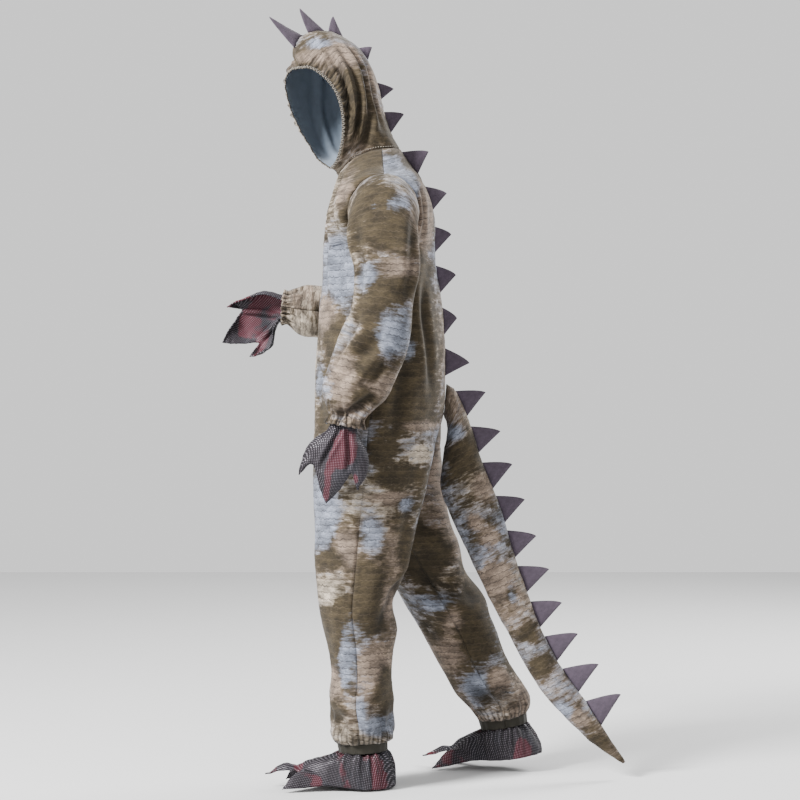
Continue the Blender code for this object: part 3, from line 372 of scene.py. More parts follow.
# Claws of the hand cover: columns of the panel, and the tip's place along and across
HAND_CLAWS = (
    # first, last, along,  across
    (0, 3, 0.1340, 0.0740),
    (3, 8, 0.1850, 0.0000),
    (8, 12, 0.1400, -0.0620),
)
HAND_COLUMN_EDGES = (-1.0, -0.80, -0.60, -0.42, -0.26, -0.10, 0.06, 0.20, 0.33,
                     0.50, 0.67, 0.84, 1.0)
HAND_CLAW_BULGE = 0.011
LEFT_WRIST = (0.266, -0.125, 0.840)
LEFT_HAND_ANGLE = 12.5       # forward from straight down
LEFT_CUFF_ANGLE = 10.0
RIGHT_WRIST = (-0.222, -0.275, 1.117)
RIGHT_HAND_ANGLE = 63.0
RIGHT_CUFF_ANGLE = 94.0

# Foot cover: reach of the hem from the ankle's middle
FOOT_FRONT = 0.150
FOOT_BACK = 0.076
FOOT_HALF_WIDTH = 0.062
FOOT_COLUMNS = 20
FOOT_ROWS = 5
FOOT_CLAW_COLUMNS = 3        # in each of the three toe claws
FOOT_CLAW_TURNS = 60.0       # the toe claws take this much of the hem to each side
FOOT_FRONT_LIFT = 0.040
FOOT_CLAWS = (
    # first, across, forward, height
    (0, -0.076, 0.182, 0.010),
    (3, 0.000, 0.226, 0.036),
    (6, 0.076, 0.182, 0.010),
)
FOOT_CLAW_BULGE = 0.020
LEFT_FOOT = (0.115, -0.086)
RIGHT_FOOT = (-0.124, 0.248)
RIGHT_FOOT_BACK_SHIFT = 0.026
RIGHT_FOOT_PITCH = 10.0      # the heel is off the floor
RIGHT_FOOT_TURN = 18.0       # the toes point outward

# Folds listed by the pieces that they lie on. A positive depth is a trough, and a
# negative one a ridge.
FOLD_STRENGTH = 1.9
FOLD_LIMIT = 0.018           # no fold moves the cloth further
FOLD_POINTS = 15             # to which each line is refined
FOLDS = (
    # half width, depth, then the line's points
    ("body+ sleeve+", (
        (0.009, 0.009, (0.150, -0.117, 1.372), (0.165, -0.112, 1.320), (0.168, -0.110, 1.265)),
        (0.009, 0.007, (0.185, 0.040, 1.350), (0.185, 0.045, 1.300), (0.170, 0.040, 1.250)),
    )),
    ("body+", (
        (0.009, 0.005, (0.060, -0.140, 1.410), (0.090, -0.132, 1.375), (0.120, -0.128, 1.330)),
        (0.013, 0.007, (0.070, -0.131, 1.400), (0.085, -0.150, 1.330), (0.078, -0.168, 1.225),
         (0.070, -0.175, 1.120)),
        (0.014, -0.005, (0.110, -0.150, 1.330), (0.112, -0.165, 1.230), (0.108, -0.172, 1.130)),
        (0.012, -0.005, (0.150, 0.050, 1.160), (0.152, 0.056, 1.060), (0.150, 0.060, 0.930)),
        (0.012, 0.006, (0.140, 0.070, 1.150), (0.145, 0.078, 1.040), (0.142, 0.082, 0.900)),
        (0.012, 0.006, (0.150, 0.040, 1.400), (0.165, 0.060, 1.330), (0.150, 0.072, 1.240)),
        (0.014, 0.005, (0.060, -0.190, 0.960), (0.090, -0.185, 0.880), (0.130, -0.150, 0.830)),
        (0.014, 0.005, (0.170, 0.010, 0.980), (0.190, 0.000, 0.900), (0.200, -0.020, 0.800)),
        (0.014, -0.004, (0.200, -0.060, 0.700), (0.203, -0.055, 0.560), (0.195, -0.060, 0.420)),
        (0.014, 0.005, (0.170, 0.040, 0.760), (0.178, 0.020, 0.640), (0.180, 0.000, 0.520)),
        (0.021, 0.011, (0.120, -0.015, 0.430), (0.165, -0.035, 0.390), (0.185, -0.060, 0.375)),
        (0.019, 0.008, (0.110, 0.000, 0.500), (0.150, -0.020, 0.455), (0.180, -0.050, 0.440)),
        (0.020, 0.011, (0.120, -0.150, 0.180), (0.165, -0.140, 0.160), (0.185, -0.110, 0.158)),
        (0.021, 0.014, (0.110, -0.018, 0.160), (0.155, -0.030, 0.150), (0.188, -0.060, 0.134)),
        (0.021, 0.013, (0.150, -0.025, 0.205), (0.180, -0.045, 0.180), (0.190, -0.075, 0.175)),
    )),
    ("sleeve+", (
        (0.012, 0.004, (0.290, -0.080, 1.200), (0.300, -0.040, 1.175), (0.290, 0.010, 1.190)),
        (0.012, 0.005, (0.295, -0.100, 1.120), (0.305, -0.060, 1.085), (0.290, -0.010, 1.075)),
        (0.011, 0.013, (0.300, -0.125, 0.858), (0.318, -0.092, 0.872), (0.322, -0.050, 0.902)),
        (0.011, -0.007, (0.300, -0.135, 0.905), (0.322, -0.110, 0.925), (0.325, -0.060, 0.960)),
        (0.012, 0.010, (0.300, -0.150, 1.000), (0.318, -0.125, 1.045), (0.305, -0.105, 1.085)),
        (0.010, 0.006, (0.318, -0.070, 0.930), (0.330, -0.030, 0.970), (0.300, 0.010, 0.985)),
        (0.011, 0.005, (0.300, -0.120, 0.985), (0.325, -0.080, 0.995), (0.320, -0.040, 1.030)),
        (0.012, 0.006, (0.270, -0.105, 1.300), (0.290, -0.105, 1.220), (0.295, -0.100, 1.130)),
        (0.012, 0.006, (0.250, 0.035, 1.300), (0.285, 0.035, 1.220), (0.290, 0.020, 1.130)),
        (0.012, 0.004, (0.262, -0.070, 1.345), (0.292, -0.030, 1.290), (0.295, 0.010, 1.250)),
        (0.011, 0.007, (0.230, -0.060, 0.900), (0.215, -0.080, 0.930), (0.210, -0.050, 0.980)),
    )),
    ("body-", (
        (0.024, 0.010, (-0.070, 0.120, 0.545), (-0.050, 0.050, 0.520), (-0.060, -0.030, 0.560)),
        (0.024, 0.010, (-0.060, 0.130, 0.500), (-0.035, 0.080, 0.470), (-0.040, 0.010, 0.490)),
        (0.022, 0.013, (-0.080, 0.190, 0.440), (-0.045, 0.130, 0.425), (-0.045, 0.060, 0.450)),
        (0.021, 0.010, (-0.060, 0.060, 0.610), (-0.045, 0.040, 0.580), (-0.060, 0.000, 0.600)),
        (0.022, 0.011, (-0.180, 0.110, 0.520), (-0.200, 0.060, 0.490), (-0.195, 0.000, 0.520)),
        (0.021, 0.010, (-0.170, 0.170, 0.440), (-0.198, 0.110, 0.415), (-0.195, 0.050, 0.440)),
        (0.020, 0.013, (-0.060, 0.170, 0.200), (-0.045, 0.220, 0.195), (-0.060, 0.280, 0.190)),
        (0.016, 0.009, (-0.055, 0.190, 0.165), (-0.050, 0.240, 0.162), (-0.065, 0.295, 0.160)),
        (0.017, 0.009, (-0.190, 0.170, 0.195), (-0.203, 0.220, 0.190), (-0.190, 0.270, 0.200)),
        (0.015, 0.006, (-0.085, -0.150, 1.340), (-0.120, -0.160, 1.220), (-0.135, -0.160, 1.080)),
        (0.013, 0.007, (-0.145, 0.050, 1.380), (-0.165, 0.060, 1.290), (-0.168, 0.040, 1.180)),
        (0.013, 0.005, (-0.130, 0.080, 1.100), (-0.140, 0.085, 0.990), (-0.130, 0.085, 0.890)),
        (0.014, 0.006, (-0.060, -0.195, 0.940), (-0.100, -0.180, 0.870), (-0.150, -0.140, 0.840)),
    )),
    ("sleeve-", (
        (0.010, 0.009, (-0.210, -0.105, 1.150), (-0.195, -0.085, 1.120), (-0.200, -0.070, 1.070)),
        (0.010, 0.008, (-0.190, -0.150, 1.130), (-0.180, -0.135, 1.100), (-0.190, -0.120, 1.060)),
        (0.010, 0.008, (-0.185, -0.210, 1.155), (-0.172, -0.190, 1.120), (-0.180, -0.175, 1.070)),
        (0.009, 0.008, (-0.200, -0.245, 1.170), (-0.178, -0.232, 1.140), (-0.172, -0.225, 1.100)),
        (0.011, 0.008, (-0.290, -0.105, 1.160), (-0.308, -0.080, 1.120), (-0.300, -0.050, 1.070)),
        (0.011, 0.007, (-0.290, -0.200, 1.150), (-0.300, -0.185, 1.110), (-0.285, -0.170, 1.060)),
        (0.012, 0.006, (-0.270, -0.105, 1.300), (-0.295, -0.100, 1.230), (-0.300, -0.100, 1.180)),
        (0.012, 0.006, (-0.260, 0.035, 1.290), (-0.295, 0.030, 1.220), (-0.295, 0.030, 1.160)),
    )),
    ("hood+", (
        (0.007, 0.007, (0.105, -0.165, 1.690), (0.122, -0.130, 1.640), (0.127, -0.115, 1.570),
         (0.112, -0.122, 1.505), (0.085, -0.125, 1.455)),
        (0.007, 0.008, (0.100, -0.140, 1.705), (0.118, -0.105, 1.650), (0.122, -0.090, 1.580),
         (0.108, -0.098, 1.510), (0.080, -0.110, 1.455)),
        (0.008, 0.007, (0.085, -0.115, 1.715), (0.104, -0.078, 1.650), (0.108, -0.066, 1.590),
         (0.096, -0.074, 1.520), (0.078, -0.090, 1.465)),
        (0.009, 0.005, (0.060, -0.085, 1.700), (0.078, -0.055, 1.640), (0.083, -0.046, 1.580),
         (0.074, -0.045, 1.520)),
    )),
    ("hood-", (
        (0.008, 0.007, (-0.060, -0.180, 1.700), (-0.080, -0.190, 1.640), (-0.078, -0.190, 1.570),
         (-0.062, -0.170, 1.500), (-0.050, -0.150, 1.450)),
        (0.008, 0.007, (-0.080, -0.150, 1.700), (-0.100, -0.150, 1.640), (-0.098, -0.140, 1.570),
         (-0.086, -0.120, 1.500), (-0.070, -0.120, 1.455)),
        (0.009, 0.006, (-0.080, -0.110, 1.700), (-0.096, -0.100, 1.640), (-0.092, -0.085, 1.570),
         (-0.082, -0.070, 1.500)),
    )),
    ("glove+", (
        (0.005, 0.004, (0.325, -0.187, 0.741), (0.325, -0.155, 0.795), (0.325, -0.130, 0.845)),
        (0.005, 0.004, (0.325, -0.110, 0.727), (0.325, -0.108, 0.785), (0.325, -0.106, 0.840)),
    )),
    ("glove-", (
        (0.005, 0.004, (-0.250, -0.388, 1.114), (-0.250, -0.340, 1.108), (-0.250, -0.300, 1.100)),
        (0.005, 0.004, (-0.250, -0.346, 1.036), (-0.250, -0.322, 1.062), (-0.250, -0.295, 1.082)),
    )),
    ("tail+ tail-", (
        (0.010, 0.003, (0.000, 0.105, 0.800), (0.045, 0.130, 0.800), (0.020, 0.150, 0.830)),
    )),
    ("tail+", (
        (0.010, 0.002, (0.030, 0.110, 0.640), (0.046, 0.150, 0.650), (0.030, 0.190, 0.680)),
        (0.010, 0.002, (0.030, 0.200, 0.430), (0.040, 0.240, 0.450), (0.025, 0.280, 0.460)),
    )),
)

# Clouds of the print on the left side, by piece: place and reach along y and z, and tone
CLOUDS = {
    # y, z, reach_y, reach_z, tone
    "hood": (
        (-0.190, 1.718, 0.022, 0.012, "blue"),
        (-0.125, 1.690, 0.040, 0.030, "tan"),
        (-0.200, 1.685, 0.040, 0.014, "tan"),
        (-0.110, 1.590, 0.050, 0.070, "olive"),
        (-0.060, 1.650, 0.016, 0.034, "tan"),
        (-0.060, 1.520, 0.050, 0.030, "olive"),
    ),
    "front": (
        (-0.070, 1.430, 0.030, 0.060, "olive"),
        (-0.125, 1.360, 0.020, 0.030, "tan"),
        (-0.110, 1.330, 0.026, 0.040, "olive"),
        (-0.140, 1.200, 0.035, 0.070, "blue"),
        (-0.170, 1.090, 0.025, 0.040, "tan"),
        (-0.150, 1.040, 0.030, 0.060, "olive"),
        (-0.185, 0.935, 0.018, 0.045, "blue"),
        (-0.150, 0.850, 0.040, 0.040, "olive"),
        (-0.060, 0.860, 0.045, 0.055, "olive"),
        (-0.160, 0.745, 0.030, 0.020, "olive"),
        (-0.175, 0.610, 0.035, 0.075, "blue"),
        (-0.120, 0.560, 0.026, 0.030, "tan"),
        (-0.160, 0.530, 0.030, 0.022, "olive"),
        (-0.165, 0.450, 0.040, 0.035, "cream"),
        (-0.150, 0.350, 0.030, 0.060, "olive"),
        (-0.128, 0.310, 0.014, 0.070, "blue"),
        (-0.150, 0.250, 0.018, 0.030, "tan"),
        (-0.140, 0.180, 0.022, 0.040, "olive"),
    ),
    "back": (
        (-0.020, 1.430, 0.030, 0.035, "blue"),
        (0.020, 1.370, 0.022, 0.040, "blue"),
        (0.060, 1.300, 0.018, 0.080, "tan"),
        (0.040, 1.180, 0.030, 0.100, "olive"),
        (-0.040, 0.870, 0.050, 0.050, "olive"),
        (0.020, 1.010, 0.020, 0.035, "blue"),
        (0.020, 0.920, 0.050, 0.050, "olive"),
        (0.045, 0.835, 0.035, 0.010, "tan"),
        (0.030, 0.870, 0.050, 0.030, "olive"),
        (0.050, 0.770, 0.022, 0.014, "cream"),
        (-0.040, 0.780, 0.050, 0.040, "olive"),
        (-0.030, 0.670, 0.050, 0.014, "tan"),
        (-0.010, 0.715, 0.060, 0.025, "olive"),
        (0.010, 0.655, 0.020, 0.018, "blue"),
        (-0.065, 0.585, 0.034, 0.050, "blue"),
        (-0.010, 0.560, 0.018, 0.050, "tan"),
        (0.000, 0.570, 0.020, 0.060, "olive"),
        (-0.070, 0.450, 0.036, 0.070, "olive"),
        (-0.025, 0.430, 0.018, 0.040, "tan"),
        (-0.060, 0.300, 0.050, 0.050, "tan"),
        (-0.030, 0.240, 0.022, 0.045, "olive"),
        (-0.095, 0.180, 0.016, 0.030, "blue"),
        (-0.050, 0.150, 0.035, 0.020, "blue"),
    ),
    "sleeve": (
        (-0.045, 1.340, 0.040, 0.030, "olive"),
        (-0.060, 1.325, 0.018, 0.014, "blue"),
        (-0.010, 1.330, 0.030, 0.020, "blue"),
        (-0.020, 1.265, 0.060, 0.040, "olive"),
        (0.000, 1.185, 0.035, 0.018, "tan"),
        (-0.075, 1.165, 0.022, 0.035, "blue"),
        (-0.020, 1.140, 0.045, 0.030, "olive"),
        (-0.070, 1.080, 0.030, 0.040, "olive"),
        (-0.015, 1.035, 0.040, 0.040, "blue"),
        (-0.080, 1.010, 0.030, 0.025, "olive"),
        (-0.125, 0.935, 0.030, 0.050, "tan"),
        (-0.060, 0.960, 0.030, 0.025, "olive"),
        (-0.030, 0.920, 0.035, 0.020, "tan"),
        (-0.090, 0.900, 0.040, 0.020, "olive"),
    ),
    "tail": (
        (0.120, 0.815, 0.030, 0.014, "blue"),
        (0.150, 0.760, 0.030, 0.030, "olive"),
        (0.200, 0.690, 0.040, 0.040, "tan"),
        (0.175, 0.610, 0.020, 0.018, "tan"),
        (0.210, 0.570, 0.030, 0.030, "tan"),
        (0.225, 0.480, 0.040, 0.035, "tan"),
        (0.260, 0.440, 0.012, 0.016, "blue"),
        (0.300, 0.350, 0.030, 0.030, "olive"),
        (0.330, 0.270, 0.030, 0.030, "olive"),
        (0.385, 0.165, 0.018, 0.014, "blue"),
        (0.420, 0.145, 0.018, 0.018, "tan"),
        (0.470, 0.080, 0.030, 0.025, "olive"),
    ),
}
# Clouds of the right leg's inner side, which the photo also shows
FAR_CLOUDS = (
    (0.060, 0.540, 0.060, 0.050, "olive"),
    (0.090, 0.410, 0.055, 0.022, "blue"),
    (0.130, 0.370, 0.030, 0.040, "tan"),
    (0.175, 0.350, 0.035, 0.060, "olive"),
    (0.120, 0.290, 0.030, 0.040, "tan"),
    (0.180, 0.215, 0.018, 0.022, "blue"),
    (0.240, 0.230, 0.040, 0.030, "tan"),
)
# Red streaks of the left hand cover: place and reach along y and z
RED_STREAKS = ((-0.160, 0.730, 0.014, 0.045), (-0.166, 0.680, 0.010, 0.022),
               (-0.098, 0.715, 0.010, 0.018), (-0.135, 0.760, 0.014, 0.022))
TONES = ("olive", "tan", "cream", "blue")
CLOUD_STRENGTH = 1.5
CLOUD_LENGTH = 0.230         # of the clouds that fall freely
FREE_CLOUDS = 0.62
MORE_OLIVE = 0.45
LESS_CREAM = 0.25
TONE_SLOPE = 0.36            # how fast one tone gives way to the next

PLUSH_OLIVE = (0.0300, 0.0222, 0.0118)
PLUSH_TAN = (0.138, 0.104, 0.080)
PLUSH_CREAM = (0.260, 0.220, 0.172)
PLUSH_BLUE = (0.138, 0.152, 0.190)
PLUSH_CRACK = (0.009, 0.008, 0.008)
LINING = (0.150, 0.185, 0.230)
FELT = (0.046, 0.034, 0.049)
FOIL_DARK = (0.0055, 0.0036, 0.0058)
FOIL_RED = (0.052, 0.0028, 0.0080)
FOIL_GREY = (0.0085, 0.0085, 0.0120)
FOIL_DOT = (0.215, 0.195, 0.220)
FOIL_SHADE = (0.006, 0.005, 0.007)
FELT_SEAM = (0.030, 0.024, 0.034)
ELASTIC = (0.016, 0.014, 0.009)
EDGING = (0.026, 0.021, 0.015)
THREAD = (0.260, 0.235, 0.200)
PLUSH_LINE = (0.062, 0.046, 0.030)
SCALE_LENGTH = 0.024
SCALE_HEIGHT = 0.0155
SCALE_ARCH = 0.16
SCALE_WOBBLE = (0.020, 0.011, 0.0)
CRACK_WIDTH = 0.0010
GATHER_PITCH = 0.0105
DOT_PITCH = 0.0052
FELT_DOT_PITCH = 0.0034


def cubic_weights(part):
    """Weights of a cubic's start, start tangent, end and end tangent at a part of it."""
    return (2 * part ** 3 - 3 * part ** 2 + 1, part ** 3 - 2 * part ** 2 + part,
            3 * part ** 2 - 2 * part ** 3, part ** 3 - part ** 2)


def blend_rows(table, at):
    """Rows of a table read smoothly at the given values of its first column."""
    rows = np.array(table, dtype=float)
    rows = rows[np.argsort(rows[:, 0])]
    keys = rows[:, 0]
    slopes = np.gradient(rows, keys, axis=0)
    at = np.clip(np.atleast_1d(at), keys[0], keys[-1])
    low = np.clip(np.searchsorted(keys, at, side="right") - 1, 0, len(keys) - 2)
    step = (keys[low + 1] - keys[low])[:, None]
    start, leave, end, arrive = cubic_weights((at[:, None] - keys[low][:, None]) / step)
    return (start * rows[low] + leave * step * slopes[low]
            + end * rows[low + 1] + arrive * step * slopes[low + 1])


def lengths_to(points):
    """The length along a line of points, from its start to each of them."""
    steps = np.linalg.norm(np.diff(points, axis=0), axis=1)
    return np.concatenate(([0.0], np.cumsum(steps)))


def read_line(places, values, at):
    """A line's values, which belong to places along it, read at other places."""
    return np.stack([np.interp(at, places, column) for column in values.T], axis=-1)


def along(points, count):
    """The given number of evenly spaced points on a smooth curve through a few points."""
    points = np.array(points, dtype=float)
    keys = lengths_to(points)
    return blend_rows(np.column_stack((keys, points)), np.linspace(0.0, keys[-1], count))[:, 1:]


def cubic(start, start_tangent, end, end_tangent, parts):
    """Points of a cubic between two ends with given tangents."""
    at_start, leave, at_end, arrive = cubic_weights(np.asarray(parts)[:, None])
    return at_start * start + leave * start_tangent + at_end * end + arrive * end_tangent


def ease(value):
    """Smooth step from 0 to 1."""
    value = np.clip(value, 0.0, 1.0)
    return value * value * (3 - 2 * value)


def unit(vector):
    """The vector at length 1."""
    vector = np.asarray(vector, dtype=float)
    return vector / max(np.linalg.norm(vector), 1e-12)


def unit_rows(vectors):
    """Each row's vector at length 1."""
    return vectors / np.maximum(np.linalg.norm(vectors, axis=1), 1e-12)[:, None]


def fall(distance, reach):
    """1 at no distance, fading out past the reach."""
    return np.exp(-(distance / reach) ** 2)


def side_word(side):
    """The side's word in the names of pieces."""
    return "left" if side > 0 else "right"


def ridge(value, centre, half_width):
    """A soft bump of height 1 at the centre that ends at the half width."""
    return ease(1.0 - np.abs(value - centre) / half_width)


def leg_row(height, leg_table):
    """One side's ring below the hips: its middle and radius across, its front and back, how
    many degrees it goes on past the front and back, and its tilt."""
    leg = blend_rows(leg_table, min(height, CROTCH))[0]
    torso = blend_rows(TORSO_TABLE, max(height, CROTCH))[0]
    if height <= CROTCH:
        _, front, back, inner, outer, tilt = leg
        return (inner + outer) / 2, (outer - inner) / 2, front, back, 90.0, tilt
    # Between the crotch and the hips each leg keeps its own front and back, and fades to
    # the torso's.
    fade = ease((height - CROTCH) / (CROTCH_TOP - CROTCH))
    front = leg[1] * (1 - fade) + torso[1] * fade
    back = leg[2] * (1 - fade) + torso[2] * fade
    inner_share = max(0.0, (CROTCH_TOP - height) / (CROTCH_TOP - CROTCH)) ** 2
    inner_share = min(inner_share, 0.9995)
    radius = torso[3] / (1 + inner_share)
    return radius * inner_share, radius, front, back, math.degrees(math.asin(inner_share)), 0.0


def centre_ends(height):
    """The places along y where the rings of both legs end, in front and behind."""
    ends = []
    for table in LEG_TABLES.values():
        _, _, front, back, inner_angle, _ = leg_row(height, table)
        middle, half = (front + back) / 2, (back - front) / 2
        reach = half * math.cos(math.radians(inner_angle))
        ends.append((middle - reach, middle + reach))
    return np.mean(ends, axis=0)


def side_seam_angle(height):
    """The side seam runs a little behind the middle under the arm and before it on the leg."""
    part = float(ease((height - SIDE_SEAM_TURN) / (UNDERARM - SIDE_SEAM_TURN)))
    return SIDE_SEAM_ON_LEG + (SIDE_SEAM_UNDER_ARM - SIDE_SEAM_ON_LEG) * part


def body_ring(side, height):
    """One horizontal row of half the body, from the centre front round to the centre back."""
    table = LEG_TABLES[side]
    middle_x, radius_x, front, back, inner_angle, tilt = leg_row(height, table)
    middle_y, radius_y = (front + back) / 2, (back - front) / 2
    seam = side_seam_angle(height)
    angles = np.concatenate((
        np.linspace(-inner_angle, seam, FRONT_COLUMNS + 1),
        np.linspace(seam, 180 + inner_angle, BACK_COLUMNS + 1)[1:]))
    turns = np.radians(angles)
    scale = 1 + body_folds(side, height, angles) / radius_x
    x = middle_x + radius_x * np.sin(turns) * scale
    y = middle_y - radius_y * np.cos(turns) * scale
    z = np.full_like(x, height)
    # Both halves share the centre seams.
    share = float(ease((height - (CROTCH - LEG_BLEND)) / LEG_BLEND))
    end_front, end_back = centre_ends(max(height, CROTCH))
    from_front = ease(1 - np.arange(len(x)) / (5.0 * FINE))
    from_back = from_front[::-1]
    y = y + share * ((end_front - y[0]) * from_front + (end_back - y[-1]) * from_back)
    if height >= CROTCH:
        x[0] = x[-1] = 0.0
    lean = math.tan(math.radians(tilt))
    z = z + (y - middle_y) * lean
    return np.column_stack((side * x, y, z))


def armhole_point(turn, behind):
    """A point of the left armhole; turn runs from -90 at the underarm to 90 at the top."""
    turn = math.radians(turn)
    depth = ARMHOLE_HALF_DEPTH * math.cos(turn)
    rise = (1 + math.sin(turn)) / 2
    return np.array((
        ARMHOLE_BOTTOM_X + (ARMHOLE_TOP_X - ARMHOLE_BOTTOM_X) * rise,
        ARMHOLE_CENTRE_Y + (depth if behind else -depth),
        UNDERARM + 2 * ARMHOLE_HALF_HEIGHT * rise))


def outer_edge(behind):
    """The panel's edge above the underarm: the armhole, then the shoulder seam to the neck."""
    points = [armhole_point(turn, behind) for turn in np.linspace(-90, 90, ARMHOLE_ROWS + 1)]
    shoulder = points[-1]
    for part in np.linspace(0, 1, SHOULDER_ROWS + 1)[1:]:
        point = shoulder * (1 - part) + np.array(NECK_POINT) * part
        point[2] -= SHOULDER_DIP * math.sin(math.pi * part)
        points.append(point)
    return points


def upper_rows(side, behind):
    """Rows of the chest or the upper back, from the centre seam to the panel's outer edge."""
    edge = outer_edge(behind)
    neck = NECK_BACK if behind else NECK_FRONT
    heights = np.linspace(UNDERARM, neck[2], len(edge))
    centre_y = blend_rows(TORSO_TABLE, heights)[:, 2 if behind else 1]
    columns = BACK_COLUMNS if behind else FRONT_COLUMNS
    rows = []
    for number, end in enumerate(edge):
        start = np.array((0.0, centre_y[number], heights[number]))
        if number == len(edge) - 1:
            start = np.array(neck)
        out = np.array((QUARTER_ARC * end[0], 0.0, 0.0))
        back = np.array((0.0, QUARTER_ARC * (end[1] - start[1]), 0.0))
        row = cubic(start, out, end, back, np.linspace(0, 1, columns + 1))
        rows.append(row * (side, 1, 1))
    return np.array(rows)


def armhole_loop(side):
    """The armhole as a ring of sleeve columns, from the underarm round by the front."""
    turns = np.linspace(0, 360, SLEEVE_COLUMNS + 1)[:-1]
    points = []
    for turn in turns:
        behind = turn > 180
        points.append(armhole_point(turn - 90 if not behind else 270 - turn, behind))
    return np.array(points) * (side, 1, 1)


def sleeve_ring(row, side, gathers, gather_depth):
    """One ring of a sleeve, from the inner side round by the front."""
    x, y, z, half_across, half_depth, tilt = row
    turns = np.radians(np.linspace(0, 360, SLEEVE_COLUMNS + 1)[:-1])
    wave = gather_depth * np.cos(turns * gathers)
    across = -(half_across + wave) * np.cos(turns)
    depth = -(half_depth + wave) * np.sin(turns)
    lean = math.radians(tilt)
    return np.column_stack((
        side * (x + across), y + depth * math.cos(lean), z + depth * math.sin(lean)))


def neck_curve(side):
    """The neck seam's points from the centre back round to the centre front."""
    front = upper_rows(side, False)[-1]
    back = upper_rows(side, True)[-1]
    return np.concatenate((back, front[::-1][1:]))


def foot_turns():
    """Angles of the hem's points from the toe, with the claws' columns first."""
    claw_columns = 3 * FOOT_CLAW_COLUMNS
    claws = np.linspace(-FOOT_CLAW_TURNS, FOOT_CLAW_TURNS, claw_columns + 1)
    rest = np.linspace(FOOT_CLAW_TURNS, 360 - FOOT_CLAW_TURNS, FOOT_COLUMNS - claw_columns + 1)
    return np.radians(np.concatenate((claws, rest[1:-1])))


def foot_place(points, side):
    """Moves points of the left foot's shape, around its ankle, to the left or right foot."""
    points = np.array(points, dtype=float)
    if side > 0:
        return points + (LEFT_FOOT[0], LEFT_FOOT[1], 0.0)
    toe = Matrix.Translation((0.0, -FOOT_FRONT, 0.0))
    pitch = Matrix.Rotation(math.radians(RIGHT_FOOT_PITCH), 4, "X")
    turn = Matrix.Rotation(math.radians(-RIGHT_FOOT_TURN), 4, "Z")
    place = Matrix.Translation((RIGHT_FOOT[0], RIGHT_FOOT[1] + RIGHT_FOOT_BACK_SHIFT, 0.0))
    whole = np.array(place @ turn @ toe @ pitch @ toe.inverted())
    points = points * (-1.0, 1.0, 1.0)
    return points @ whole[:3, :3].T + whole[:3, 3]


def claw_rows(base, tip, bulge, outward):
    """Rows of a claw from its base to near the tip: a cupped leaf."""
    base = np.array(base)
    middle = (base[0] + base[-1]) / 2
    spread = np.linspace(-1, 1, len(base))
    rows = []
    for part in CLAW_PARTS:
        row = []
        for point, side in zip(base, spread):
            lift = bulge * (1 - side * side) * math.sin(math.pi * min(part + 0.25, 1.0))
            spread_out = (point - middle) * (1 - part) ** CLAW_NARROWING
            row.append(middle + (tip - middle) * part + spread_out + np.array(outward) * lift)
        rows.append(row)
    return rows


def add_claw(panel, base_numbers, tip, bulge, outward):
    """Adds a claw to a panel's edge, and gives the number of its tip."""
    base = [panel.points[number] for number in base_numbers]
    before = list(base_numbers)
    for row in claw_rows(base, tip, bulge, outward):
        start = len(panel.points)
        panel.points.extend(row)
        after = list(range(start, start + len(row)))
        panel.join(np.array((before, after)))
        before = after
    panel.points.append(tip)
    last = len(panel.points) - 1
    panel.faces += [(first, second, last) for first, second in zip(before, before[1:])]
    return last


def body_folds(side, height, angles):
    """How far the soft folds over the ankle and by the knee stand out, round a ring."""
    out = np.zeros_like(angles)
    blouse = ridge(height, BLOUSE_HEIGHTS[side], BLOUSE_REACH)
    out += BLOUSE_DEPTH * blouse * np.cos(math.pi * np.arange(len(angles)) / FINE)
    behind = np.cos(np.radians(angles - KNEE_FOLD_ANGLE)).clip(0)
    for above, depth in KNEE_FOLDS:
        out += depth * ridge(height, KNEE_HEIGHTS[side] + above, KNEE_FOLD_REACH) * behind
    return out


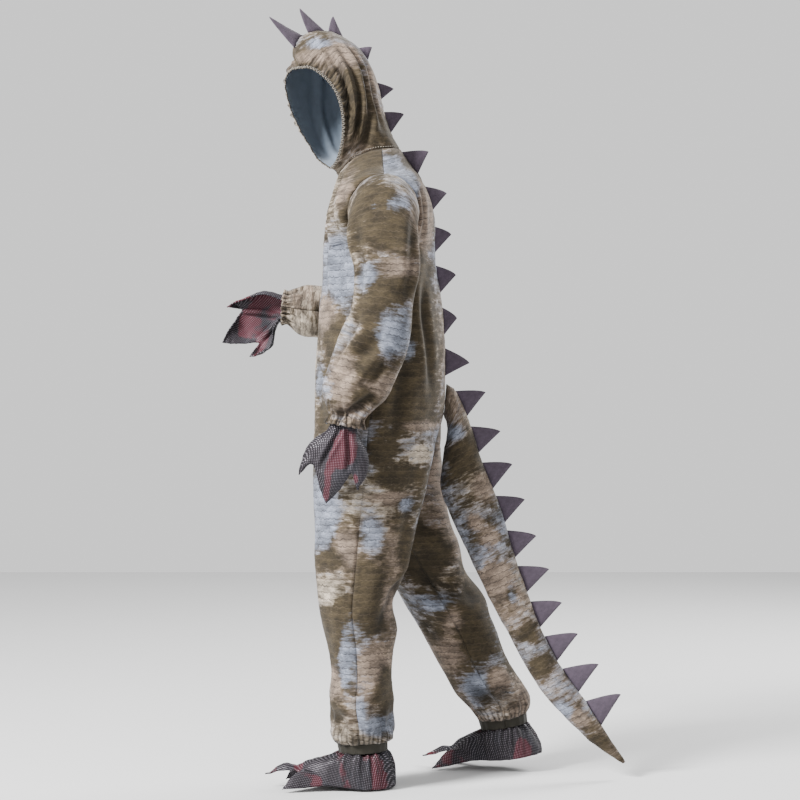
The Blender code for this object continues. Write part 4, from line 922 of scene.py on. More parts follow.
class Piece:
    """The outer surface of one piece of cloth, with cloth coordinates in metres."""

    def __init__(self, name, look, wall=CLOTH):
        self.name = name
        self.look = look
        self.wall = wall
        self.group = name.split("_")[0]
        self.side = -1 if name.endswith("right") else 1
        self.fabric = None
        self.columns = 0
        self.gather = None
        self.extra = 0.0

    def from_grid(self, grid, across_from=0, seams=(True, True, True, True), flip=False):
        """Quads between rows and columns; seams says which of the first row, last row, first
        column and last column are sewn to another piece."""
        rows, columns = grid.shape[:2]
        across = np.linalg.norm(np.diff(grid, axis=1), axis=2)
        u = np.concatenate((np.zeros((rows, 1)), np.cumsum(across, axis=1)), axis=1)
        down = np.linalg.norm(np.diff(grid, axis=0), axis=2)
        v = np.concatenate((np.zeros((1, columns)), np.cumsum(down, axis=0)))
        edges = np.full((rows, columns), 1.0)
        for wanted, reach in zip(seams, (v, v[-1] - v, u, u[:, -1:] - u)):
            if wanted:
                edges = np.minimum(edges, reach)
        self.flat = (float(u[:, -1].max()), float(v[-1].max()))
        start = u[:, across_from:across_from + 1]
        level = v[:, across_from:across_from + 1] + 0 * u
        self.fabric = np.stack((u - start, level), axis=2).reshape(-1, 2)
        self.edge = edges.reshape(-1)
        self.points = grid.reshape(-1, 3).copy()
        numbers = np.arange(rows * columns).reshape(rows, columns)
        quads = np.stack((numbers[:-1, :-1], numbers[:-1, 1:], numbers[1:, 1:],
                          numbers[1:, :-1]), axis=2).reshape(-1, 4)
        self.quads = quads[:, ::-1] if flip else quads
        self.columns = columns
        return self

    def face_crosses(self):
        """Each quad's normal, twice as long as its area is large."""
        a, b, c, d = (self.points[self.quads[:, corner]] for corner in range(4))
        return np.cross(c - a, d - b)

    def area(self):
        """The area of the whole surface."""
        return float(np.linalg.norm(self.face_crosses(), axis=1).sum() / 2)

    def border(self):
        """The edges that only one face uses, in that face's direction."""
        pairs = np.concatenate([self.quads[:, (k, (k + 1) % 4)] for k in range(4)])
        pairs = pairs[pairs[:, 0] != pairs[:, 1]]
        there = pairs[:, 0].astype(np.int64) * len(self.points) + pairs[:, 1]
        back = pairs[:, 1].astype(np.int64) * len(self.points) + pairs[:, 0]
        return pairs[~np.isin(there, back)]


def share_normals(pieces):
    """Normals that pieces share where they meet, and the number of each shared place."""
    places = np.round(np.concatenate([piece.points for piece in pieces]), 5)
    _, shared = np.unique(places, axis=0, return_inverse=True)
    shared = shared.reshape(-1)
    sums = np.zeros((shared.max() + 1, 3))
    start = 0
    for piece in pieces:
        normals = unit_rows(piece.face_crosses())
        for corner in range(4):
            np.add.at(sums, shared[start + piece.quads[:, corner]], normals)
        piece.shared = shared[start:start + len(piece.points)]
        start += len(piece.points)
    sums = unit_rows(sums)
    for piece in pieces:
        piece.normals = sums[piece.shared]


def waves(points, length, seed, count=WAVE_COUNT):
    """An even, soft field of that wave length, between about -1 and 1."""
    rng = np.random.default_rng(seed)
    ways = unit_rows(rng.normal(size=(count, 3)))
    lengths = length * rng.uniform(0.75, 1.35, count)
    shifts = rng.uniform(0, 2 * math.pi, count)
    value = np.sin(points @ (ways / lengths[:, None]).T * 2 * math.pi + shifts)
    return value.sum(axis=1) / math.sqrt(count)


def line_distance(points, line):
    """Each point's distance from a line, and its place along it from 0 to 1."""
    best = np.full(len(points), 9.0)
    place = np.zeros(len(points))
    line = np.array(line)
    lengths = np.linalg.norm(np.diff(line, axis=0), axis=1)
    starts = np.concatenate(([0.0], np.cumsum(lengths)))
    for number, length in enumerate(lengths):
        way = (line[number + 1] - line[number]) / max(length, 1e-9)
        along_way = np.clip((points - line[number]) @ way, 0, length)
        far = np.linalg.norm(points - line[number] - along_way[:, None] * way, axis=1)
        near = far < best
        best[near] = far[near]
        place[near] = (starts[number] + along_way[near]) / starts[-1]
    return best, place


def key_of(piece):
    """The piece's name in the table of folds."""
    group = "body" if piece.group in ("front", "back") else piece.group
    return group + ("+" if piece.side > 0 else "-")


def lay_folds(pieces):
    """The folds' lines, brought onto the surface of the pieces that they lie on."""
    laid = []
    for names, folds in FOLDS:
        wanted = [piece.points for piece in pieces if key_of(piece) in names.split()]
        if not wanted:
            continue
        points = np.concatenate(wanted)
        for width, depth, *line in folds:
            found = np.array([points[np.argmin(((points - spot) ** 2).sum(axis=1))]
                              for spot in along(line, FOLD_POINTS)])
            for _ in range(4):
                found[1:-1] = (found[:-2] + 2 * found[1:-1] + found[2:]) / 4
            laid.append((names.split(), found, width, depth * FOLD_STRENGTH))
    return laid


def fold_depth(piece, laid):
    """How far the listed folds move the piece's points along their normals."""
    out = np.zeros(len(piece.points))
    for names, line, width, depth in laid:
        if key_of(piece) not in names:
            continue
        far, place = line_distance(piece.points, line)
        taper = np.sin(math.pi * np.clip(place * 0.92 + 0.04, 0, 1)) ** 0.6
        out += depth * taper * (0.45 * fall(far - 2.0 * width, width) - fall(far, width))
    out = FOLD_LIMIT * np.tanh(out / FOLD_LIMIT)
    if piece.columns:
        grid = out.reshape(-1, piece.columns)
        for _ in range(2):
            grid[1:-1] = (grid[:-2] + 2 * grid[1:-1] + grid[2:]) / 4
            grid[:, 1:-1] = (grid[:, :-2] + 2 * grid[:, 1:-1] + grid[:, 2:]) / 4
        out = grid.reshape(-1)
    return out


def wavy(points, size, seed):
    """Waves of that depth and length, in metres."""
    depth, length = size
    return depth * waves(points, length, seed)


def loose_depth(piece):
    """The cloth's uneven lie, and the dip and the small waves beside its seams."""
    points = piece.points
    soft = wavy(points * (1, 1, 0.6), WIDE_WAVES, 11) + wavy(points * (1, 1, 0.7), CLOSE_WAVES, 12)
    soft *= {"tail": TAIL_LOOSENESS, "hood": HOOD_LOOSENESS}.get(piece.group, 1.0)
    small = wavy(points, SMALL_WAVES, 13)
    seam = fall(piece.edge, SEAM_WAVES_REACH) * wavy(points, SEAM_WAVES, 14)
    seam -= SEAM_DIP * fall(piece.edge, SEAM_DIP_REACH)
    return soft + small + seam


def side_spot(points, y, z, reach_y, reach_z):
    """1 at a place of the side view, fading out past its reach."""
    return fall(points[:, 1] - y, reach_y) * fall(points[:, 2] - z, reach_z)


def clouds(piece):
    """The tones of the print at each point: three values around a half, for the shader."""
    points = piece.points
    scores = {tone: FREE_CLOUDS * waves(points * (1, 1, 0.8), CLOUD_LENGTH, 21 + number)
              for number, tone in enumerate(TONES)}
    scores["olive"] += MORE_OLIVE
    scores["cream"] -= LESS_CREAM
    listed, seen = (), np.zeros(len(points))
    if piece.side > 0:
        listed, seen = CLOUDS.get(piece.group, ()), ease(piece.normals[:, 0] / 0.35 + 0.35)
    elif piece.group in ("front", "back"):
        # The photo shows the right leg's inner side.
        listed, seen = FAR_CLOUDS, ease((points[:, 0] + 0.095) / 0.05) * (points[:, 2] < 0.70)
    for tone in scores:
        scores[tone] *= 1 - 0.55 * seen
    for y, z, reach_y, reach_z, tone in listed:
        scores[tone] += CLOUD_STRENGTH * side_spot(points, y, z, reach_y, reach_z) * seen
    table = np.array([scores[tone] for tone in TONES])
    values = []
    for number in (1, 2, 3):
        others = np.delete(table, number, axis=0).max(axis=0)
        values.append(np.clip(0.5 + TONE_SLOPE * (table[number] - others), 0, 1))
    return np.array(values).T


def blotches(piece):
    """Red and grey streaks of the foil cloth."""
    points = piece.points
    stretched = points * (1.0, 1.0, 0.35)
    red = 0.5 + 0.30 * waves(stretched, 0.055, 31 + (piece.side < 0))
    grey = 0.5 + 0.30 * waves(stretched, 0.065, 41 + (piece.side < 0))
    if piece.name == "glove_left":
        red = 0.12 + 1.05 * side_spot(points, -0.120, 0.788, 0.030, 0.046)
        for streak in RED_STREAKS:
            red += 0.62 * side_spot(points, *streak)
    return np.clip(np.array([red, grey, 0 * red]).T, 0, 1)


def add_object(name, data):
    """A new object in the scene."""
    made = bpy.data.objects.new(name, data)
    bpy.context.scene.collection.objects.link(made)
    return made


def write_places(mesh, fabric):
    """Gives every corner its point's place on the cloth, in metres."""
    corners = np.zeros(len(mesh.loops), dtype=np.int32)
    mesh.loops.foreach_get("vertex_index", corners)
    layer = mesh.uv_layers.new(name="cloth")
    layer.data.foreach_set("uv", fabric[corners].ravel())


def write_values(mesh, name, values):
    """Gives every point three values, as a colour that the looks read."""
    layer = mesh.color_attributes.new(name, "FLOAT_COLOR", "POINT")
    layer.data.foreach_set("color", np.column_stack((values, np.ones(len(values)))).ravel())


def build_object(piece, materials):
    """A wall of cloth: the outer surface, the inner one with the lining, and the rims."""
    border = piece.border()
    ways = unit_rows(piece.points[border[:, 1]] - piece.points[border[:, 0]])
    inward = np.zeros_like(piece.points)
    for column in (0, 1):
        np.add.at(inward, border[:, column], np.cross(piece.normals[border[:, column]], ways))
    outer = piece.points + unit_rows(inward) * EDGE_INSET
    inner = outer - piece.normals * piece.wall
    count = len(outer)
    rim = np.stack((border[:, 1], border[:, 0], border[:, 0] + count, border[:, 1] + count), axis=1)
    quads = np.concatenate((piece.quads, piece.quads[:, ::-1] + count, rim))
    faces = [tuple(dict.fromkeys(quad)) for quad in quads.tolist()]
    mesh = bpy.data.meshes.new(piece.name)
    mesh.from_pydata((np.concatenate((outer, inner)) - ORIGIN).tolist(), [], faces)
    for name in materials:
        mesh.materials.append(MATERIALS[name])
    index = np.zeros(len(faces), dtype=np.int32)
    index[len(piece.quads):2 * len(piece.quads)] = len(materials) - 1
    mesh.polygons.foreach_set("material_index", index)
    mesh.polygons.foreach_set("use_smooth", np.ones(len(faces), dtype=bool))
    write_places(mesh, np.tile(piece.fabric, (2, 1)))
    write_values(mesh, "tone", np.tile(piece.tones, (2, 1)))
    close, place = piece.gather or (np.zeros(count), np.zeros(count))
    # The third value is how deep the cloth lies in a fold, which sets the painted fold shade.
    write_values(mesh, "gather", np.tile(np.column_stack((close, place * 2, piece.hollow)), (2, 1)))
    mesh.update()
    made = add_object("cloth_" + piece.name, mesh)
    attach(made, "root")
    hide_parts(piece.name)
    return made


def make_body(side):
    """The front and back panel of one side, each from the ankle to the shoulder."""
    table = LEG_TABLES[side]
    hem = table[0][0]
    legs = np.linspace(0.0, 1.0, LEG_ROWS + 1)
    turns = np.interp(np.arange(len(CROTCH_TURNS) * FINE - FINE + 1) / FINE,
                      range(len(CROTCH_TURNS)), CROTCH_TURNS)[1:]
    heights = [hem + (CROTCH - hem) * (0.75 * part + 0.25 * part ** 2) for part in legs]
    heights += list(CROTCH_TOP - (CROTCH_TOP - CROTCH) * np.sqrt(np.sin(np.radians(turns))))
    heights += list(np.linspace(CROTCH_TOP, UNDERARM, TORSO_ROWS + 1)[1:-1])
    lower = np.array([body_ring(side, height) for height in heights])
    pieces = []
    for behind in (False, True):
        half = lower[:, FRONT_COLUMNS:] if behind else lower[:, :FRONT_COLUMNS + 1]
        upper = upper_rows(side, behind)
        if behind:
            upper = upper[:, ::-1]
        grid = np.concatenate((half, upper))
        piece = Piece(("back_" if behind else "front_") + side_word(side), "plush")
        piece.from_grid(grid, 0 if behind else FRONT_COLUMNS, flip=side < 0)
        columns = np.arange(grid.shape[1]) + (FRONT_COLUMNS if behind else 0)
        turns = columns * 2 * math.pi / (FRONT_COLUMNS + BACK_COLUMNS)
        above = np.full(len(grid), 1.0)
        above[:len(heights)] = np.array(heights) - hem
        near = ease(1 - above / ANKLE_GATHER_REACH)[:, None]
        gathers = np.sin(ANKLE_PLEATS * turns + 1.1 * np.sin(3 * turns) + side + above[:, None] * 8)
        piece.extra = (ANKLE_PLEAT_DEPTH * near * gathers).reshape(-1)
        piece.gather = ((near + 0 * gathers).reshape(-1),
                        np.tile(columns * 0.36 / (FRONT_COLUMNS + BACK_COLUMNS), len(grid)))
        pieces.append(piece)
    return pieces


def make_sleeve(side):
    """A sleeve: its cap from the armhole, the rings down the arm and the gathered cuff."""
    table = np.array(LEFT_SLEEVE_TABLE if side > 0 else RIGHT_SLEEVE_TABLE)
    keys = lengths_to(table[:, :3])
    keyed = np.column_stack((keys, table))
    cuff = [np.linspace(keys[number], keys[number + 1], FINE + 1)[1:] for number in (-4, -3, -2)]
    stations = np.concatenate([np.linspace(0, keys[-4], SLEEVE_ROWS + 1)] + cuff)
    rings = []
    for station in stations:
        row = blend_rows(keyed, station)[0][1:]
        near_cuff = float(ease(1 - (keys[-1] - station) / CUFF_GATHER_REACH))
        ring = sleeve_ring(row, side, SLEEVE_GATHERS, CUFF_GATHER * near_cuff)
        rings.append(ring)
    first = rings[0]
    hole = armhole_loop(side)
    outward = np.array((side * 1.0, 0.0, 0.05))
    down = rings[1] - rings[0]
    cap = []
    for part in np.linspace(0, 1, SLEEVE_CAP_ROWS + 1)[:-1]:
        row = []
        for column in range(SLEEVE_COLUMNS):
            reach = np.linalg.norm(first[column] - hole[column])
            row.append(cubic(hole[column], outward * reach * CAP_LEAVE, first[column],
                             unit(down[column]) * reach * CAP_LEAVE, [part])[0])
        cap.append(row)
    grid = np.array(cap + rings)
    grid = np.concatenate((grid, grid[:, :1]), axis=1)
    piece = Piece("sleeve_" + side_word(side), "plush")
    piece.from_grid(grid, SLEEVE_COLUMNS // 2, (True, False, True, True), flip=side > 0)
    down_arm = np.concatenate((np.zeros(len(cap)), stations))
    near = ease(1 - (keys[-1] - down_arm) / CUFF_PLEAT_REACH)
    turns = np.linspace(0, 2 * math.pi, SLEEVE_COLUMNS + 1)
    pleats = near[:, None] * np.sin(CUFF_PLEATS * turns + 1.3 * np.sin(3 * turns))
    piece.extra = (CUFF_PLEAT_DEPTH * pleats).reshape(-1)
    round_cuff = np.linspace(0, 0.30, SLEEVE_COLUMNS + 1)
    piece.gather = (np.repeat(near, SLEEVE_COLUMNS + 1), np.tile(round_cuff, len(grid)))
    return piece


def face_way(point):
    """The way that cloth leaves the face opening: outward from its centre, and back."""
    return unit(unit(point - np.array(FACE_CENTRE)) * 0.9 - unit(FACE_DIRECTION) * 0.7)


def make_hood(side):
    """Half the hood: rows from the face edge or the crown seam round the side to the back."""
    face = along((FACE_EDGE_LEFT if side > 0 else FACE_EDGE_RIGHT)[::-1], HOOD_FACE_ROWS + 1)
    crown = along(CROWN_SEAM, HOOD_CROWN_ROWS + 1)
    chin = np.linspace(NECK_FRONT, face[0], FINE + 1)[:-1]
    starts = np.concatenate((chin, face, crown[1:]))
    count = len(starts)
    ends = along(BACK_SEAM, count)
    sides = along(HOOD_SIDE_LEFT if side > 0 else HOOD_SIDE_RIGHT, count)
    turn = math.radians(CROWN_TURN)
    across = side * np.array((math.cos(turn), math.sin(turn), 0.0))
    neck = neck_curve(side)[::-1]
    rows = [neck]
    for number in range(FINE, count - 1):
        start, middle, end = starts[number], sides[number], ends[number]
        reach = np.linalg.norm(middle - start)
        away = face_way(start)
        over = float(ease((number - HOOD_FACE_ROWS + 2 * FINE) / (4 * FINE)))
        leave = unit(away * (1 - over) + across * over)
        under = float(ease(1 - (number / FINE - 1) / 5))
        leave = unit(leave * (1 - under) + unit(middle - start + (side * 0.06, 0, 0)) * under)
        back = np.array((0.0, end[1] - middle[1], end[2] - middle[2])) * QUARTER_ARC
        width = max(abs(end[0] - middle[0]) * QUARTER_ARC, np.linalg.norm(end - middle) / 2)
        arrive = np.array((-side * width, 0.0, 0.0))
        front_row = cubic(start, leave * reach * HOOD_FULLNESS, middle, unit(back) * reach,
                          np.linspace(0, 1, FRONT_COLUMNS + 1))
        back_row = cubic(middle, back, end, arrive, np.linspace(0, 1, BACK_COLUMNS + 1))
        rows.append(np.concatenate((front_row, back_row[1:])))
    first = rows[1]
    between = [neck + (first - neck) * part for part in np.linspace(0, 1, FINE + 1)[1:-1]]
    top = along(TOP_SEAM, FRONT_COLUMNS + BACK_COLUMNS + 1)
    grid = np.array([rows[0]] + between + rows[1:] + [top])
    piece = Piece("hood_" + side_word(side), "plush")
    piece.from_grid(grid, FRONT_COLUMNS, flip=side < 0)
    # Gathers fan out from the elastic: deep beside it, and gone a third of the way back.
    reach = piece.fabric[:, 0].reshape(len(grid), -1)
    reach = reach - reach[:, :1]
    row = np.arange(len(grid))[:, None] / FINE
    strength = np.clip((row - 3.5) / 4, 0, 1) * np.clip((15.5 - row) / 1.5, 0, 1)
    fade = np.exp(-(reach / HOOD_PLEAT_REACH) ** 1.5) * ease(reach / 0.004)
    uneven = 1 + 0.35 * np.sin(row * 1.7) + 0.2 * np.sin(row * 0.9 + 1)
    wave = np.sin(math.pi * (row * 1.9 + 0.5 * np.sin(row * 0.8)) + 3.0 * reach / 0.05)
    piece.extra = (HOOD_PLEAT_DEPTH * strength * uneven * fade * wave).reshape(-1)
    close = strength * fall(reach, 0.034)
    piece.gather = (close.reshape(-1), np.repeat(lengths_to(grid[:, 0]), grid.shape[1]))
    return piece


def make_tail(side, seat):
    """Half the tail, with its first row set just behind the seat."""
    table = np.column_stack((np.arange(len(TAIL_TABLE)), TAIL_TABLE))
    stations = np.arange((len(TAIL_TABLE) - 1) * FINE + 1) / FINE
    rows = []
    for _, y_under, z_under, y_top, z_top, half in blend_rows(table, stations):
        turns = np.linspace(0, math.pi, TAIL_COLUMNS + 1)
        part = (1 - np.cos(turns)) / 2
        rows.append(np.column_stack((side * half * np.sin(turns),
                                     y_under + (y_top - y_under) * part,
                                     z_under + (z_top - z_under) * part)))
    for point in rows[0]:
        starts = [(point[0] + step, point[1] + TAIL_REACH, point[2])
                  for step in (-SEAM_GAP, SEAM_GAP)]
        hits = [seat.ray_cast(start, (0.0, -1.0, 0.0))[0] for start in starts]
        point[1] = max(hit[1] for hit in hits) + TAIL_GAP
    grid = np.array(rows)
    piece = Piece("tail_" + side_word(side), "plush")
    return piece.from_grid(grid, TAIL_COLUMNS // 2, (True, False, True, True), flip=side > 0)


def make_band(side):
    """The ribbed elastic below the leg's hem."""
    table = LEG_TABLES[side]
    hem = body_ring(side, table[0][0])
    tilt = math.radians(table[0][5])
    down = np.array((0.0, math.sin(tilt), -math.cos(tilt)))
    middle = hem[:-1].mean(axis=0)
    rows = []
    for part in np.linspace(1, 0, 3 * FINE):
        taper = 1 - (1 - BAND_TAPER) * part
        rows.append(middle + (hem - middle) * taper + down * BAND_WIDTH * part)
    piece = Piece("ankle_band_" + side_word(side), "elastic")
    piece.from_grid(np.array(rows), 0, (False, True, False, False), flip=side < 0)
    columns = np.tile(np.arange(hem.shape[0]), len(rows))
    piece.extra = BAND_RIB * np.sin(columns * math.pi / 2 + 0.7 * np.sin(columns * 0.4))
    return piece


def make_face_elastic():
    """The edging all round the face opening, in front of the hood's edge."""
    left = along(FACE_EDGE_LEFT, HOOD_FACE_ROWS + 1)
    right = along(FACE_EDGE_RIGHT, HOOD_FACE_ROWS + 1)
    edge = np.concatenate((left, right[::-1][1:]))
    away = np.array([face_way(point) for point in edge])
    rows = [edge - away * ELASTIC_WIDTH * part for part in np.linspace(1, 0, FINE + 1)]
    piece = Piece("face_elastic", "elastic")
    piece.from_grid(np.array(rows), 0, (False, True, False, False))
    columns = np.tile(np.arange(len(edge)), len(rows))
    piece.extra = EDGING_RIB * np.sin(columns * math.pi / 2 + 0.6 * np.sin(columns * 0.3))
    return piece


class Panel:
    """Points and faces of a cover, as coarse as its solid, before it is made smooth."""

    def __init__(self):
        self.points = []
        self.faces = []

    def add_grid(self, grid, closed=False):
        """Adds a grid's points and faces, and gives the points' numbers."""
        rows, columns = grid.shape[:2]
        start = len(self.points)
        self.points.extend(grid.reshape(-1, 3))
        numbers = start + np.arange(rows * columns).reshape(rows, columns)
        self.join(numbers, closed)
        return numbers

    def join(self, numbers, closed=False):
        """Adds the faces between rows of numbered points."""
        rows, columns = numbers.shape
        for row in range(rows - 1):
            for column in range(columns if closed else columns - 1):
                after = (column + 1) % columns
                face = (numbers[row, column], numbers[row, after],
                        numbers[row + 1, after], numbers[row + 1, column])
                self.faces.append(tuple(dict.fromkeys(int(number) for number in face)))


def smooth_cover(name, panel, tips, to_fabric):
    """The cover's surface made smooth, with its claws' tips kept sharp."""
    mesh = bpy.data.meshes.new(name)
    mesh.from_pydata([tuple(point) for point in panel.points], [], panel.faces)
    crease = mesh.attributes.new("crease_vert", "FLOAT", "POINT")
    for tip in tips:
        crease.data[tip].value = 1.0
    made = add_object(name, mesh)
    rounder = made.modifiers.new("rounder", "SUBSURF")
    rounder.levels = rounder.render_levels = COVER_LEVELS
    rounder.boundary_smooth = "PRESERVE_CORNERS"
    ready = made.evaluated_get(bpy.context.evaluated_depsgraph_get()).to_mesh()
    points = np.zeros(len(ready.vertices) * 3)
    ready.vertices.foreach_get("co", points)
    points = points.reshape(-1, 3)
    corners = np.zeros(len(ready.loops), dtype=np.int32)
    ready.loops.foreach_get("vertex_index", corners)
    made.to_mesh_clear()
    bpy.data.objects.remove(made)
    piece = Piece(name, "foil_cloth", PADDED_CLOTH)
    piece.points, piece.quads, piece.fabric = points, corners.reshape(-1, 4), to_fabric(points)
    border = np.unique(piece.border())
    tree = KDTree(len(border))
    for number, point in enumerate(points[border]):
        tree.insert(point, number)
    tree.balance()
    piece.edge = np.array([tree.find(point)[2] for point in points])
    return piece


def make_glove(side):
    """A cupped cover for the back of the hand, with three claws along its end."""
    wrist = np.array(LEFT_WRIST if side > 0 else RIGHT_WRIST)
    hand_turn = LEFT_HAND_ANGLE if side > 0 else RIGHT_HAND_ANGLE
    cuff_turn = LEFT_CUFF_ANGLE if side > 0 else RIGHT_CUFF_ANGLE
    out = np.array((float(side), 0.0, 0.0))
    panel = Panel()
    rows = []
    for length, half_width, bulge, wrap, bend in HAND_TABLE:
        turn = math.radians(hand_turn + (cuff_turn - hand_turn) * bend)
        down = np.array((0.0, -math.sin(turn), -math.cos(turn)))
        front = np.array((0.0, -math.cos(turn), math.sin(turn)))
        row = []
        for edge in HAND_COLUMN_EDGES:
            angle = math.radians(edge * wrap)
            row.append(wrist + down * length - front * half_width * math.sin(angle)
                       + out * bulge * math.cos(angle))
        rows.append(row)
    numbers = panel.add_grid(np.array(rows))
    tips = []
    for first, last, length, across in HAND_CLAWS:
        tip = wrist + down * length + front * across + out * 0.008
        tips.append(add_claw(panel, numbers[-1, first:last + 1], tip, HAND_CLAW_BULGE, out))
    if side > 0:
        panel.faces = [face[::-1] for face in panel.faces]

    def to_fabric(points):
        flat = points - wrist
        return np.column_stack((flat @ front + 0.6 * flat @ out, flat @ down))

    piece = smooth_cover("glove_" + side_word(side), panel, tips, to_fabric)
    widest = max(lengths_to(row)[-1] for row in rows)
    longest = max(claw[2] for claw in HAND_CLAWS) - HAND_TABLE[0][0]
    piece.flat = (float(widest), float(longest))
    return piece


def make_boot(side):
    """A domed cover for the top of the foot, open below, with three toe claws."""
    table = LEG_TABLES[side]
    height, front, back, inner, outer, tilt = table[0]
    depth = (back - front) / 2 * BAND_TAPER
    width = (outer - inner) / 2 * BAND_TAPER
    panel = Panel()
    turns = foot_turns()
    lean = math.radians(tilt)
    drop = BAND_WIDTH + 2 * SEAM_GAP
    toward = -depth * np.cos(turns)
    middle = np.array((side * (inner + outer) / 2, (front + back) / 2, height))
    top = np.column_stack((side * ((inner + outer) / 2 + width * np.sin(turns)),
                           (front + back) / 2 + toward + drop * math.sin(lean),
                           height - drop * math.cos(lean) + toward * math.tan(lean)))
    forward = np.clip(np.cos(turns), 0, 1)
    reach = np.where(np.cos(turns) > 0, FOOT_FRONT, FOOT_BACK)
    lift = FOOT_FRONT_LIFT * ease((np.cos(turns) - 0.35) / 0.45)
    hem = np.column_stack((FOOT_HALF_WIDTH * np.sin(turns), -reach * np.cos(turns),
                           0.004 + lift))
    hem = foot_place(hem, side)
    outward = foot_place(np.column_stack((np.sin(turns), -np.cos(turns), turns * 0)), side)
    outward -= foot_place(np.zeros((1, 3)), side)
    lines = []
    for start, end, way, ahead in zip(top, hem, outward, forward):
        far = np.linalg.norm(end - start)
        leave = unit(way * (0.5 + 0.9 * ahead) + (0, 0, -0.6))
        arrive = unit(way * ahead * 0.5 + (0, 0, -1.0))
        lines.append(cubic(start, leave * far, end, arrive * far * 0.9,
                           np.linspace(0, 1, FOOT_ROWS + 1)))
    numbers = panel.add_grid(np.array(lines).transpose(1, 0, 2), closed=True)
    tips = []
    for first, across, ahead, up in FOOT_CLAWS:
        tip = foot_place(np.array([(across, -ahead, up)]), side)[0]
        base = numbers[-1, first:first + FOOT_CLAW_COLUMNS + 1]
        tips.append(add_claw(panel, base, tip, FOOT_CLAW_BULGE, (0, -0.2, 0.98)))
    if side > 0:
        panel.faces = [face[::-1] for face in panel.faces]

    def to_fabric(points):
        flat = points - middle
        return np.column_stack((flat[:, 1] + 0.5 * side * flat[:, 0],
                                np.hypot(flat[:, 2], 0.4 * flat[:, 0])))

    piece = smooth_cover("boot_" + side_word(side), panel, tips, to_fabric)
    around = np.arctan2(piece.points[:, 0] - middle[0], piece.points[:, 1] - middle[1])
    below = np.linalg.norm(piece.points - middle, axis=1) - width
    pleats = np.sin(around * BOOT_PLEATS + 0.9 * np.sin(around * 5))
    piece.extra = BOOT_PLEAT_DEPTH * pleats * fall(below, BOOT_PLEAT_REACH)
    piece.gather = (fall(below, 0.050), (around + math.pi) * 0.055)
    for turn in (-20, 20):
        lean = math.radians(turn)
        groove = foot_place(((FOOT_HALF_WIDTH * math.sin(lean), -0.150, 0.045),
                             (0.7 * FOOT_HALF_WIDTH * math.sin(lean), -0.105, 0.075),
                             (0.5 * FOOT_HALF_WIDTH * math.sin(lean), -0.055, 0.105)), side)
        far, _ = line_distance(piece.points, groove)
        piece.extra -= BOOT_GROOVE_DEPTH * fall(far, 0.008)
    around_hem = lengths_to(np.vstack((hem, hem[:1])))[-1]
    longest = max(lengths_to(line)[-1] for line in lines)
    claw = max(np.linalg.norm(panel.points[tip] - hem[0]) for tip in tips)
    piece.flat = (float(around_hem), float(longest + claw))
    return piece


def back_line(pieces):
    """Points and outward directions of the line that carries the spikes."""
    def column(name, number, rows):
        piece = pieces[name]
        points = piece.points.reshape(-1, piece.columns, 3)
        normals = piece.normals.reshape(-1, piece.columns, 3)
        return list(zip(points[rows, number], normals[rows, number]))

    hood_rows = len(pieces["hood_left"].points) // pieces["hood_left"].columns
    found = column("hood_left", 0, slice(FINE + HOOD_FACE_ROWS, hood_rows))
    hood = pieces["hood_left"]
    found += list(zip(hood.points[-hood.columns:], hood.normals[-hood.columns:]))[1:]
    found += column("hood_left", -1, slice(hood_rows - 2, None, -1))
    found += column("back_left", -1, slice(None, None, -1))[1:]
    tail = column("tail_left", -1, slice(None))
    top = tail[0][0][2] + 0.004
    found = [pair for pair in found if pair[0][2] > top] + tail
    return np.array([pair[0] for pair in found]), np.array([pair[1] for pair in found])


def tube_faces(start, rings, sides):
    """Quads of a tube whose points follow each other, ring after ring."""
    faces = []
    for first in range(start, start + (rings - 1) * sides, sides):
        for turn in range(sides):
            after = (turn + 1) % sides
            faces.append((first + turn, first + after,
                          first + sides + after, first + sides + turn))
    return faces


